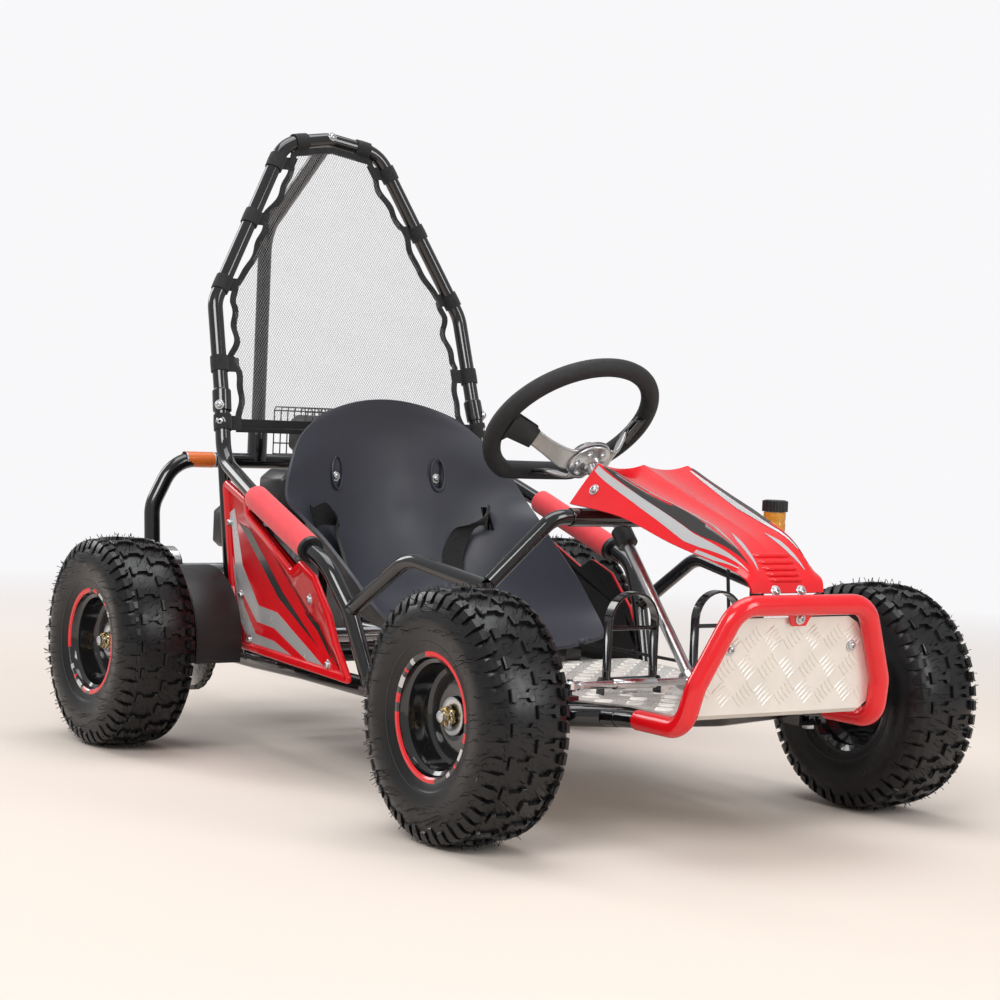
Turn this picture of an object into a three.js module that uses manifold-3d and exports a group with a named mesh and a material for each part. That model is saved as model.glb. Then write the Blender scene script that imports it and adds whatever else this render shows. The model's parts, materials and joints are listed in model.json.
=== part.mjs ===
// An off-road go kart for one young driver, built from its separate pieces.
// Millimetres. +X points forward, +Y to the driver's left and +Z up.
// Places are measured from the axles, and the whole stands over its own middle.
import * as THREE from "three";
import { mergeVertices } from "three/addons/utils/BufferGeometryUtils.js";
import Module from "manifold-3d";

const wasm = await Module();
wasm.setup();

// Wheels and axles
const wheelbase = 877;
const rearTrack = 866;
const frontTrack = 716;
const tyreRadius = 165;
const tyreWidth = 127;
const tyreWall = 8;
const rimWidth = 103;
const flangeRadius = 89;
const flangeThick = 3.5;
const beadRadius = 76;
const beadLong = 13;
const dropRadius = 66;
const dropHalf = 22;
const rimWall = 4;
const discSet = 13;
const discThick = 4.5;
const hubRadius = 24;
const rimSegments = 14;
const hubHalf = 22;
const rearAxleRadius = 12.5;
const stubAxleRadius = 9;
const washerRadius = 25;
const washerThick = 3;
const nutRadius = 13.5;
const nutThick = 12;
const axleTipLong = 8;
const axleTipRadius = 8;

// Clearances
const gap = 0.3;
const overrun = 2;

// Tubes of the frame
const railRadius = 14.5;
const sideTubeRadius = 12.5;
const uprightRadius = 10;
const nerfTubeRadius = 11;
const dashTubeRadius = 11;
const dashSleeveRadius = 13;
const dashSleeveHalf = 120;
const hoopTubeRadius = 14;
const cageTubeRadius = 12.5;
const bumperTubeRadius = 13.5;
const crossTubeRadius = 11;
const tubeBend = 70;
const tightBend = 42;

// Bottom rails
const railTailFromRear = -356;
const railTailHalf = 214;
const railRearHeight = 137.5;
const railSeatFromRear = 75;
const railSeatHalf = 229;
const railMidFromRear = 261.5;
const railMidHalf = 246;
const railMidHeight = 144;
const railWideFromRear = 467.5;
const railWideHalf = 255;
const railFrontFromFront = -108.5;
const railFrontHalf = 230;
const railFrontHeight = 150;
const railCornerFromFront = 17.5;
const railCornerHalf = 205;
const railNoseHeight = 161;
const railBowFromFront = 56.5;
const railBowHalf = 120;
const railNoseFromFront = 83.5;

// Cross tubes and plates of the lower frame
const seatCrossFromRear = 54.5;
const seatFrontCrossFromRear = 490;
const engineCrossBehind = 90;
const engineCrossSpan = 125;
const enginePlateThick = 6;
const enginePlateHalf = 85;
const enginePlateMargin = 14;
const seatPostHalf = 98;
const seatPostTop = 458;
const seatPostRadius = 8.5;
const seatPostFromRear = 54.5;
const seatPadHalf = 14;
const seatPadRow = 2.9;
const seatRestRow = 8.7;
const seatPadPlay = 0.5;

// Side frames
const stubTopFromRear = -37.5;
const stubTopHalf = 249;
const stubTopHeight = 557;
const kneeFromRear = -6.5;
const kneeHalf = 257;
const kneeHeight = 455;
const gripRearFromRear = 142.5;
const gripRearHalf = 275;
const gripRearHeight = 403;
const gripFrontFromRear = 341.5;
const gripFrontHalf = 285;
const gripFrontHeight = 335;
const shoulderFromRear = 390;
const shoulderHalf = 284;
const shoulderHeight = 317;
const legTopFromRear = 435.5;
const legTopHalf = 270;
const legTopHeight = 253;
const legFootFromRear = 480;
const uprightBendFromRear = 24;
const uprightBendHalf = 252;
const uprightBendHeight = 250;
const uprightFootFromRear = 60;
const gripRadius = 20;

// Nerf tubes beside the driver's knees, and the dash tube
const nerfPeakFromFront = -297.5;
const nerfPeakHalf = 264;
const nerfPeakHeight = 342;
const dashJointFromFront = -130.5;
const dashJointHalf = 243;
const dashJointHeight = 317;
const dashBendFromFront = -108.5;
const dashBendHalf = 150;
const dashHeight = 414;
const dashEndShare = 0.06;
const dashTabWide = 16;
const dashTabThick = 8;
const dashTabInset = 6;

// Rear hoop
const rearHoopFromRear = -372.5;
const rearHoopTopHeight = 443;
const rearHoopTopHalf = 166;
const rearHoopShoulderHalf = 207;
const rearHoopShoulderHeight = 360;
const rearHoopFootFromRear = -335;

// Roll cage hoop and its rear brace
const cageElbowFromRear = -87.5;
const cageElbowHalf = 243;
const cageElbowHeight = 717;
const cageCornerFromRear = -142.5;
const cageCornerHalf = 94;
const cageCornerHeight = 997;
const cageTopFromRear = -152.5;
const cageTopHeight = 1013;
const cageBend = 60;
const cageCollarRadius = 15.5;
const cageCollarDown = 24;
const cageCollarUp = 12;
const braceBendHeight = 863;
const braceEndShare = 0.03;
const braceFootRadius = 18;
const braceFootLong = 26;

// Safety net and its straps
const netThick = 2;
const netColumns = 6;
const netRows = 10;
const netCordShare = 0.3;
const netTopHeight = 980;
const netInset = 24;
const netSlack = 12;
const netFootLift = 30;
const strapWide = 26;
const strapThick = 2;
const strapTailShare = 0.4;
const netWaves = 4;
const strapHeightShares = [0, 0.25, 0.5, 0.9];

// Front bumper
const bumperEndFromFront = 116.5;
const bumperEndHalf = 165;
const bumperEndHeight = 167;
const bumperKneeFromFront = 206;
const bumperWaistFromFront = 219;
const bumperWaistHalf = 158;
const bumperWaistHeight = 222;
const bumperTopFromFront = 238;
const bumperCornerHalf = 110;
const bumperTopHeight = 325;
const spigotPlay = 1.3;
const bumperTabHalf = 22;
const bumperTabLowHalf = 12;
const bumperTabLong = 28;
const bumperTabThick = 3;
const noseTabHalf = 21;
const noseTabWide = 18;
const noseTabDrop = 1.5;
const noseTabLong = 36;

// Diamond plate, bent back into the floor pan
const plateThick = 2.5;
const plateTopHeight = 304;
const plateTopHalf = 94;
const plateShoulderHeight = 262;
const plateShoulderHalf = 120;
const plateLowHalf = 138;
const plateFootHeight = 192;
const plateBehindTube = 9;
const floorRearHalf = 206;
const floorTailFromRear = 500;
const floorNarrowFromFront = 0;
const floorFrontFromFront = 60;
const floorBend = 14;

// Nose cowl. Each row of shares runs from the rear edge to the front lip
const cowlThick = 3;
const cowlRearFromFront = -128.5;
const cowlLong = 336;
const cowlFootHeight = 338;
const cowlHigh = 152;
const cowlHalf = 110;
const cowlCrestShares = [
  [0.068, 0.727, 1],
  [0.357, 0.655, 0.789],
  [0.646, 0.545, 0.586],
  [0.795, 0.527, 0.454],
  [0.911, 0.473, 0.283],
  [0.976, 0.436, 0.125],
  [1, 0.418, 0],
];
const cowlSkirtShares = [
  [0, 1, 0.618],
  [0.304, 0.918, 0.546],
  [0.565, 0.8, 0.368],
  [0.744, 0.709, 0.263],
  [0.893, 0.627, 0.178],
  [0.973, 0.591, 0.112],
  [1, 0.555, 0],
];
const cowlDip = 8;
const cowlDipShares = [0.9, 1, 0.8, 0.6, 0.4, 0.2, 0];
const cowlBulgeShares = [0.1, 0.5, 0.7, 0.6, 0.4, 0.2, 0];

// Seat. Each row of shares gives the middle (x, z) and the edge (x, y, z)
const seatThick = 5;
const seatTailFromRear = 70.5;
const seatLong = 468;
const seatFootHeight = 192;
const seatHigh = 373;
const seatHalf = 230;
const seatRowShares = [
  [0.015, 1, 0.034, 0.565, 0.928],
  [0.004, 0.906, 0.075, 0.77, 0.828],
  [0, 0.8, 0.139, 0.913, 0.697],
  [0.013, 0.611, 0.203, 1, 0.568],
  [0.049, 0.383, 0.306, 0.974, 0.491],
  [0.145, 0.155, 0.406, 0.935, 0.416],
  [0.316, 0.035, 0.562, 0.904, 0.29],
  [0.573, 0, 0.701, 0.87, 0.166],
  [0.786, 0.008, 0.808, 0.804, 0.094],
  [0.915, 0.021, 0.915, 0.652, 0.062],
  [1, 0.03, 0.951, 0.435, 0.043],
];
const seatCurveShares = [2, 2, 2, 2.2, 2.6, 3, 3.2, 3, 2.4, 2, 2];
const seatColumns = 8;
const seatSlotLow = 420;
const seatSlotHigh = 464;
const seatSlotWide = 15;
const beltSlotHalf = 181;
const beltSlotHeight = 389;
const beltSlotLong = 46;
const beltSlotHigh = 12;
const beltThick = 2.4;
const beltLift = 0.6;
const beltInnerShare = 0.66;
const beltOuterShare = 0.84;
const beltTopRow = 3.6;
const beltLowRow = 5.6;
const beltSteps = 5;

// Side panels, from the rear upper corner
const panelThick = 3;
const panelRimWide = 12;
const panelRimHigh = 5;
const panelTailFromRear = 6.5;
const panelLong = 465;
const panelFootHeight = 144;
const panelHigh = 285;
const panelFootHalf = 247.6;
const panelSplayShare = 0.066;
const panelLeanShare = 0.042;
const panelOutlineShares = [
  [0, 1],
  [0.204, 0.895],
  [0.219, 0.812],
  [0.566, 0.551],
  [0.624, 0.606],
  [0.733, 0.54],
  [0.843, 0.359],
  [0.895, 0.213],
  [1, 0.014],
  [0.142, 0.042],
  [0.065, 0.376],
];

// Engine
const crankFromRear = -161.5;
const crankHeight = 265;
const blockLong = 130;
const blockHalf = 70;
const blockHigh = 189;
const blockEdge = 8;
const finCount = 5;
const finThick = 4;
const finPitch = 12;
const finStand = 8;
const finFootHeight = 284;
const shaftOutHalf = 332;
const shaftOutRadius = 9;
const shroudLong = 130;
const shroudRightHalf = 85;
const shroudLeftHalf = 60;
const shroudHigh = 92;
const shroudEdge = 16;
const recoilRadius = 74;
const recoilDeep = 42;
const recoilStep = 12;
const handleWide = 44;
const handleHigh = 16;
const handleDeep = 14;
const tankLong = 110;
const tankHalf = 76;
const tankFootHeight = 270;
const tankHigh = 105;
const tankEdge = 16;
const fuelCapRadius = 24;
const fuelCapHigh = 16;
const filterLong = 90;
const filterWide = 62;
const filterHigh = 72;
const filterFootHeight = 262;
const carbRadius = 16;
const carbLong = 30;
const filterEdge = 10;
const switchRadius = 8;
const switchHigh = 10;

// Muffler and its wire guard
const mufflerLong = 86;
const mufflerRightHalf = 38;
const mufflerLeftHalf = 98;
const mufflerFootHeight = 464;
const mufflerHigh = 68;
const mufflerEdge = 12;
const exhaustRadius = 9;
const exhaustHalf = -10;
const exhaustAhead = 17;
const portHigh = 40;
const portLong = 30;
const portWide = 26;
const portDrop = 15;
const guardWire = 2.2;
const guardStand = 12;
const guardLoops = 3;
const guardHighShare = 0.82;

// Chain drive and its round guard
const chainPlaneHalf = 305;
const sprocketRadius = 78;
const sprocketTeeth = 18;
const toothDeep = 6;
const sprocketThick = 5;
const sprocketHubRadius = 26;
const sprocketHubHalf = 14;
const clutchRadius = 38;
const clutchDeep = 30;
const pinionRadius = 22;
const pinionTeeth = 10;
const chainThick = 8;
const chainWide = 9;
const chainPlay = 1.2;
const guardRadius = 120;
const guardOuterHalf = 360;
const guardInnerHalf = 278;
const guardWall = 2.5;
const guardHoleRadius = 30;
const guardArmWide = 26;
const guardArmThick = 5;

// Brake
const discHalf = 290;
const discRadius = 80;
const brakeDiscThick = 4;
const caliperLong = 46;
const caliperHigh = 58;
const caliperHalf = 24;
const caliperBite = 26;
const caliperLugHigh = 22;
const reservoirHalf = 140;
const reservoirFromFront = 16.5;
const reservoirFoot = 396;
const reservoirRadius = 15.5;
const reservoirHigh = 36;
const reservoirArmWide = 16;
const reservoirArmThick = 4;
const capRadius = 18;
const capHigh = 16;
const hoseRadius = 2.6;
// The places it passes on its way from the reservoir to the caliper
const hoseOutX = 405;
const hoseOutHalf = 126;
const hoseOutHeight = 372;
const hoseDashX = 349;
const hoseDashHalf = 150;
const hoseDashHeight = 344;
const hoseDropX = 338;
const hoseDropHalf = 165;
const hoseDropHeight = 280;
const hoseRailHalf = 208;
const hoseRailHeight = 200;
const hoseTurnX = 290;
const hoseTurnHalf = 211;
const hoseRunHeight = 186;
const hoseSeatX = 60;
const hoseSeatHalf = 212;
const hoseTailX = -400;
const hoseTailHalf = 213;
const hoseRiseX = -480;
const hoseRiseHalf = 216;
const hoseLoopX = -500;
const hoseLoopHalf = 262;
const hoseLoopHeight = 222;

// Rear axle bearings and their hangers
const bearingInnerHalf = 176;
const bearingOuterHalf = 206;
const bearingRadius = 24;
const bearingFlangeRadius = 32;
const bearingFlangeThick = 5;
const hangerInnerHalf = 186;
const hangerThick = 10;
const hangerLong = 84;
const hangerTopHeight = 206;
const hangerFootHeight = 124;

// Front spindles
const kingpinHalf = 240;
const kingpinRadius = 6;
const kingpinHeadRadius = 10;
const kingpinHeadHigh = 7;
const barrelRadius = 13;
const barrelFootHeight = 134;
const barrelHigh = 64;
const yokeThick = 6;
const yokeRadius = 17;
const yokeWebHalf = 211;
const steerArmAhead = 66;
const steerArmWide = 18;
const steerArmThick = 6;
const steerArmDrop = 3;
const studRadius = 4;
const tieHeight = 207;
const tieRodRadius = 5.5;
const tieSleeveRadius = 7;
const tieSleeveLong = 70;
const tieEndRadius = 9;
const tieEndHigh = 14;
const tieInnerHalf = 30;
const tieBallRadius = 7.5;

// Steering column and wheel
const columnFootFromFront = 30.9;
const columnFootHeight = 188.5;
const columnRakeShare = 0.663;
const columnLong = 403;
const columnRadius = 8;
const columnThick = 5;
const pitmanLong = 24;
const pitmanHalf = 10;
const pitmanThick = 5;
const hubPlateRadius = 40;
const hubPlateThick = 5;
const steerWheelRadius = 125;
const steerRimRadius = 14;
const steerDish = 69;
const spokeWide = 34;
const spokeLowWide = 26;
const spokeThick = 5;
const spokeHubRadius = 36;
const capBossRadius = 26;
const capBossHigh = 12;
const columnBossRadius = 15;
const columnBossLong = 28;
const columnArmRadius = 8;

// Pedals
const pedalInnerHalf = 18;
const pedalWide = 94;
const pedalFromFront = -33.5;
const pedalPivotRise = 16;
const pedalHigh = 128;
const pedalBarRadius = 5;
const pedalCrossShare = 0.58;
const pedalPinRadius = 4;
const pedalBossRadius = 8;
const pedalPostThick = 5;
const pedalPostHalf = 9;
const brakeInnerHalf = 40;

const rearX = -wheelbase / 2;
const frontX = wheelbase / 2;
const axleZ = tyreRadius;
const rearHalf = rearTrack / 2;
const frontHalf = frontTrack / 2;
const sides = [
  ["left", 1],
  ["right", -1],
];
const at = (x, y, z) => new THREE.Vector3(x, y, z);
const byRear = (ahead, y, z) => at(rearX + ahead, y, z);
const byFront = (ahead, y, z) => at(frontX + ahead, y, z);
const mix = (from, to, share) => from + (to - from) * share;

const paint = (color, roughness, metalness) =>
  new THREE.MeshStandardMaterial({ color, roughness, metalness });
const redPlastic = paint(0xe01c24, 0.18, 0);
const redPaint = paint(0xdd1a22, 0.2, 0.1);
const redFoam = paint(0xe8444a, 0.85, 0);
const blackPaint = paint(0x101012, 0.25, 0.1);
const blackPlastic = paint(0x1a1a1c, 0.5, 0);
const seatPlastic = paint(0x3a3b42, 0.6, 0);
const tyreRubber = paint(0x17171a, 0.8, 0);
const rimPaint = paint(0x0d0d0e, 0.3, 0.1);
const zinc = paint(0xb9bcc0, 0.35, 1);
const aluminium = paint(0xcfd0d1, 0.4, 1);
const castAlloy = paint(0x8f9296, 0.5, 1);
const spokeSteel = paint(0x9c9a98, 0.4, 0.9);
const gripFoam = paint(0x1c1c1d, 0.9, 0);
const meshCloth = paint(0x26262a, 0.9, 0);
const webbing = paint(0x141416, 0.85, 0);
const amber = paint(0xc98f2c, 0.3, 0);
const darkSteel = paint(0x4b4c4f, 0.5, 0.8);

const kart = new THREE.Group();

// A closed geometry as a solid for cutting and joining
function solid(geometry) {
  const bare = geometry.index ? geometry.toNonIndexed() : geometry.clone();
  bare.deleteAttribute("normal");
  bare.deleteAttribute("uv");
  const merged = mergeVertices(bare);
  const made = fromArrays(
    new Float32Array(merged.attributes.position.array),
    new Uint32Array(merged.index.array),
  );
  return made.volume() < 0 ? turnedOut(made) : made;
}

function fromArrays(vertProperties, triVerts) {
  return new wasm.Manifold(new wasm.Mesh({ numProp: 3, vertProperties, triVerts }));
}

// The same faces with their sides swapped
function swapped(triVerts) {
  const turned = new Uint32Array(triVerts.length);
  for (let i = 0; i < triVerts.length; i += 3) {
    turned[i] = triVerts[i];
    turned[i + 1] = triVerts[i + 2];
    turned[i + 2] = triVerts[i + 1];
  }
  return turned;
}

function turnedOut(made) {
  const mesh = made.getMesh();
  return fromArrays(mesh.vertProperties, swapped(mesh.triVerts));
}

// The same solid on the other side of the kart
function mirrored(made) {
  const mesh = made.getMesh();
  const places = new Float32Array(mesh.vertProperties);
  for (let i = 1; i < places.length; i += 3) places[i] = -places[i];
  return fromArrays(places, swapped(mesh.triVerts));
}
const onSide = (side, made) => (side > 0 ? made : mirrored(made));

function piece(name, made, material) {
  const mesh = made.getMesh();
  const geometry = new THREE.BufferGeometry();
  geometry.setAttribute("position", new THREE.BufferAttribute(mesh.vertProperties, 3));
  geometry.setIndex(new THREE.BufferAttribute(mesh.triVerts, 1));
  geometry.computeVertexNormals();
  const shown = new THREE.Mesh(geometry, material);
  shown.name = name;
  kart.add(shown);
}

const join = (first, ...rest) => rest.reduce((sum, next) => sum.add(next), first);
const cut = (first, ...rest) => rest.reduce((left, next) => left.subtract(next), first);

// A tube's centre line: straight runs with round bends, and steps only in the bends
class BentLine extends THREE.Curve {
  constructor(points, bend, stepsPerBend) {
    super();
    const last = points.length - 1;
    const heading = (i) => points[i + 1].clone().sub(points[i]).normalize();
    this.stations = [[points[0], heading(0)]];
    for (let i = 1; i < last; i += 1) {
      const before = heading(i - 1);
      const after = heading(i);
      const turn = before.angleTo(after);
      const room = Math.min(
        points[i].distanceTo(points[i - 1]),
        points[i].distanceTo(points[i + 1]),
      );
      const setBack = Math.min(bend * Math.tan(turn / 2), room * 0.45);
      const radius = setBack / Math.tan(turn / 2);
      const inward = after.clone().addScaledVector(before, -after.dot(before)).normalize();
      for (let k = 0; k <= stepsPerBend; k += 1) {
        const angle = (turn * k) / stepsPerBend;
        const place = points[i]
          .clone()
          .addScaledVector(before, radius * Math.sin(angle) - setBack)
          .addScaledVector(inward, radius * (1 - Math.cos(angle)));
        const way = before
          .clone()
          .multiplyScalar(Math.cos(angle))
          .addScaledVector(inward, Math.sin(angle));
        this.stations.push([place, way]);
      }
    }
    this.stations.push([points[last], heading(last - 1)]);
  }
  station(share) {
    return this.stations[Math.round(share * (this.stations.length - 1))];
  }
  getPoint(share) {
    return this.station(share)[0].clone();
  }
  getPointAt(share) {
    return this.getPoint(share);
  }
  getTangentAt(share) {
    return this.station(share)[1].clone();
  }
}

function ring(radius, count) {
  const points = [];
  for (let k = 0; k < count; k += 1) {
    const angle = (2 * Math.PI * (k + 0.5)) / count;
    points.push(new THREE.Vector2(radius * Math.cos(angle), radius * Math.sin(angle)));
  }
  return new THREE.Shape(points);
}

function tube(points, radius, bend = tubeBend, count = 8, stepsPerBend = 3) {
  const line = new BentLine(points, bend, stepsPerBend);
  const steps = line.stations.length - 1;
  return solid(
    new THREE.ExtrudeGeometry(ring(radius, count), { steps, extrudePath: line }),
  );
}
const rod = (from, to, radius, count = 8) => tube([from, to], radius, tubeBend, count);

// A radius whose many-sided ring clears a round of the given radius
const around = (radius, count) => (radius + gap) / Math.cos(Math.PI / count);
const sleeve = (from, to, radius, bore, count = 12) =>
  cut(
    rod(from, to, radius, count),
    rod(
      from.clone().lerp(to, -overrun / from.distanceTo(to)),
      to.clone().lerp(from, -overrun / from.distanceTo(to)),
      around(bore, count),
      count,
    ),
  );

function box(low, high) {
  const size = high.clone().sub(low);
  const made = new THREE.BoxGeometry(size.x, size.y, size.z);
  const middle = low.clone().add(high).multiplyScalar(0.5);
  return solid(made.translate(middle.x, middle.y, middle.z));
}

// A box with its edges cut off all round
function softBox(low, high, edge) {
  const shape = new THREE.Shape([
    new THREE.Vector2(low.x + edge * 2, low.y + edge),
    new THREE.Vector2(high.x - edge * 2, low.y + edge),
    new THREE.Vector2(high.x - edge, low.y + edge * 2),
    new THREE.Vector2(high.x - edge, high.y - edge * 2),
    new THREE.Vector2(high.x - edge * 2, high.y - edge),
    new THREE.Vector2(low.x + edge * 2, high.y - edge),
    new THREE.Vector2(low.x + edge, high.y - edge * 2),
    new THREE.Vector2(low.x + edge, low.y + edge * 2),
  ]);
  const made = new THREE.ExtrudeGeometry(shape, {
    depth: high.z - low.z - edge * 2,
    bevelSize: edge,
    bevelThickness: edge,
    bevelSegments: 1,
  });
  return solid(made.translate(0, 0, low.z + edge));
}

const flat = (points) => new THREE.Shape(points.map(([a, b]) => new THREE.Vector2(a, b)));

// An outline of [x, y] pairs, thickened upwards
function slabZ(points, low, high) {
  const made = new THREE.ExtrudeGeometry(flat(points), {
    depth: high - low,
    bevelEnabled: false,
  });
  return solid(made.translate(0, 0, low));
}

// An outline of [x, z] pairs, thickened along Y
function slabY(points, low, high) {
  const made = new THREE.ExtrudeGeometry(flat(points), {
    depth: high - low,
    bevelEnabled: false,
  });
  return solid(made.rotateX(Math.PI / 2).translate(0, high, 0));
}

// An outline of [y, z] pairs, thickened along X
function slabX(points, low, high) {
  const made = new THREE.ExtrudeGeometry(flat(points), {
    depth: high - low,
    bevelEnabled: false,
  });
  made.rotateX(Math.PI / 2).rotateZ(Math.PI / 2);
  return solid(made.translate(low, 0, 0));
}

// A closed profile of [radius, y] pairs turned about an axis along Y
function turned(profile, x, z, segments = 20) {
  const points = profile.map(([radius, y]) => new THREE.Vector2(radius, y));
  const closed = profile[0][0] === 0 ? points : [...points, points[0]];
  return solid(new THREE.LatheGeometry(closed, segments).translate(x, 0, z));
}
const drum = (x, z, radius, low, high, segments = 16) =>
  turned([[0, low], [radius, low], [radius, high], [0, high]], x, z, segments);
// A curved sheet: a grid of points thickened to one side
function sheet(grid, thick) {
  const rows = grid.length;
  const columns = grid[0].length;
  const near = (list, i) => list[Math.max(0, Math.min(list.length - 1, i))];
  const places = [];
  const faces = [];
  for (const side of [0, 1]) {
    grid.forEach((row, i) =>
      row.forEach((point, j) => {
        const down = near(grid, i + 1)[j].clone().sub(near(grid, i - 1)[j]);
        const across = near(row, j + 1).clone().sub(near(row, j - 1));
        const off = down.cross(across).normalize();
        places.push(...point.clone().addScaledVector(off, side * thick));
      }),
    );
  }
  const index = (side, i, j) => (side * rows + i) * columns + j;
  const quad = (a, b, c, d) => faces.push(a, b, c, a, c, d);
  const wall = (a, b) => quad(index(0, ...a), index(0, ...b), index(1, ...b), index(1, ...a));
  for (let i = 0; i < rows - 1; i += 1) {
    for (let j = 0; j < columns - 1; j += 1) {
      // The diagonals of the two halves are mirror images
      const [p, q, r, s] = [[i, j], [i, j + 1], [i + 1, j + 1], [i + 1, j]];
      const corners = j < (columns - 1) / 2 ? [p, q, r, s] : [q, r, s, p];
      const [first, second, third, fourth] = corners;
      quad(...corners.map((spot) => index(0, ...spot)));
      quad(...[first, fourth, third, second].map((spot) => index(1, ...spot)));
    }
    wall([i, 0], [i + 1, 0]);
    wall([i + 1, columns - 1], [i, columns - 1]);
  }
  for (let j = 0; j < columns - 1; j += 1) {
    wall([0, j + 1], [0, j]);
    wall([rows - 1, j], [rows - 1, j + 1]);
  }
  const made = new THREE.BufferGeometry();
  made.setAttribute("position", new THREE.BufferAttribute(new Float32Array(places), 3));
  made.setIndex(faces);
  return solid(made);
}

// Bottom rails: one tube from the right tail round the bowed nose to the left tail
const railPoints = (side) => [
  byRear(railTailFromRear, side * railTailHalf, railRearHeight),
  byRear(railSeatFromRear, side * railSeatHalf, railRearHeight),
  byRear(railMidFromRear, side * railMidHalf, railMidHeight),
  byRear(railWideFromRear, side * railWideHalf, railMidHeight),
  byFront(railFrontFromFront, side * railFrontHalf, railFrontHeight),
  byFront(railCornerFromFront, side * railCornerHalf, railNoseHeight),
  byFront(railBowFromFront, side * railBowHalf, railNoseHeight),
];
const rails = (stretch = 0) =>
  tube(
    [
      ...railPoints(-1),
      byFront(railNoseFromFront, 0, railNoseHeight),
      ...railPoints(1).reverse(),
    ],
    railRadius + stretch,
    tightBend,
    8,
    1,
  );
// Half-width of the straight rear run of the rails
const railHalfAt = (fromRear) =>
  fromRear < railSeatFromRear
    ? mix(
        railTailHalf,
        railSeatHalf,
        (fromRear - railTailFromRear) / (railSeatFromRear - railTailFromRear),
      )
    : mix(
        railSeatHalf,
        railMidHalf,
        (fromRear - railSeatFromRear) / (railMidFromRear - railSeatFromRear),
      );
const stretchedRails = rails(gap);
const railFlat = railRadius * Math.cos(Math.PI / 8);

// A place on the seat's front face, by its row and by its share of the half-width
function seatPoint(row, across) {
  const low = Math.floor(Math.min(row, seatRowShares.length - 2));
  const share = row - low;
  const value = (k) => mix(seatRowShares[low][k], seatRowShares[low + 1][k], share);
  const power = mix(seatCurveShares[low], seatCurveShares[low + 1], share);
  const curve = Math.abs(across) ** power;
  return byRear(
    seatTailFromRear + seatLong * mix(value(0), value(2), curve),
    seatHalf * value(3) * across,
    seatFootHeight + seatHigh * mix(value(1), value(4), curve),
  );
}

// Lower frame
const engineFront = -engineCrossBehind;
const engineRear = engineFront - engineCrossSpan;
const plateLowZ = railRearHeight + crossTubeRadius - overrun;
const plateTopZ = railRearHeight + crossTubeRadius + enginePlateThick;
const crossTube = (fromRear, half, height) =>
  rod(byRear(fromRear, -half, height), byRear(fromRear, half, height), crossTubeRadius, 6);
const bumperSpigots = sides.map(([, side]) =>
  rod(
    byFront(railBowFromFront - railBowHalf / 10, side * bumperEndHalf, railNoseHeight),
    byFront(bumperEndFromFront - spigotPlay, side * bumperEndHalf, bumperEndHeight),
    crossTubeRadius,
  ),
);
const hanger = (side) => {
  const plate = box(
    byRear(-hangerLong / 2, hangerInnerHalf, hangerFootHeight),
    byRear(hangerLong / 2, hangerInnerHalf + hangerThick, hangerTopHeight),
  );
  const gusset = box(
    byRear(-hangerLong / 2, hangerInnerHalf, hangerFootHeight),
    byRear(hangerLong / 2, railHalfAt(0), axleZ - bearingRadius - gap * 2),
  );
  const seat = drum(
    rearX,
    axleZ,
    around(bearingRadius, 12),
    hangerInnerHalf - overrun,
    hangerInnerHalf + hangerThick + overrun,
    12,
  );
  return onSide(side, cut(join(plate, gusset), seat));
};
const seatPosts = tube(
  [
    byRear(seatPostFromRear, -seatPostHalf, railRearHeight),
    byRear(seatPostFromRear, -seatPostHalf, seatPostTop),
    byRear(seatPostFromRear, seatPostHalf, seatPostTop),
    byRear(seatPostFromRear, seatPostHalf, railRearHeight),
  ],
  seatPostRadius,
  tightBend,
  6,
  2,
);
// Pads on the seat posts and rests on the front cross tube, where the seat is bolted
const padFace = seatPoint(seatPadRow, (seatPostHalf - seatPadHalf) / seatHalf);
const seatPad = box(
  byRear(seatPostFromRear, seatPostHalf - seatPadHalf, padFace.z - seatPadHalf),
  at(
    padFace.x - seatThick - seatPadPlay,
    seatPostHalf + seatPadHalf,
    padFace.z + seatPadHalf,
  ),
);
const restFace = seatPoint(seatRestRow, seatPostHalf / seatHalf);
const seatRest = box(
  at(restFace.x - seatPadHalf, seatPostHalf - seatPadHalf, railMidHeight),
  at(
    restFace.x + seatPadHalf,
    seatPostHalf + seatPadHalf,
    restFace.z - seatThick - seatPadPlay,
  ),
);
// The yoke that holds each kingpin, welded to the corner of the rail
const yokeTopZ = barrelFootHeight + barrelHigh + gap;
const yokeLowZ = barrelFootHeight - gap;
const yoke = (side) => {
  const ear = (low) =>
    join(
      slabZ(
        [
          [frontX - yokeRadius, railCornerHalf],
          [frontX + yokeRadius, railCornerHalf],
          [frontX + yokeRadius, kingpinHalf],
          [frontX + yokeRadius * 0.7, kingpinHalf + yokeRadius * 0.7],
          [frontX, kingpinHalf + yokeRadius],
          [frontX - yokeRadius * 0.7, kingpinHalf + yokeRadius * 0.7],
          [frontX - yokeRadius, kingpinHalf],
        ],
        low,
        low + yokeThick,
      ),
    );
  const web = box(
    at(frontX - yokeRadius, railCornerHalf, yokeLowZ - yokeThick),
    at(frontX + yokeRadius, yokeWebHalf, yokeTopZ + yokeThick),
  );
  const hole = rod(
    at(frontX, kingpinHalf, yokeLowZ - yokeThick - overrun),
    at(frontX, kingpinHalf, yokeTopZ + yokeThick + overrun),
    around(kingpinRadius, 10),
  );
  return onSide(side, cut(join(ear(yokeTopZ), ear(yokeLowZ - yokeThick), web), hole));
};
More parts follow.
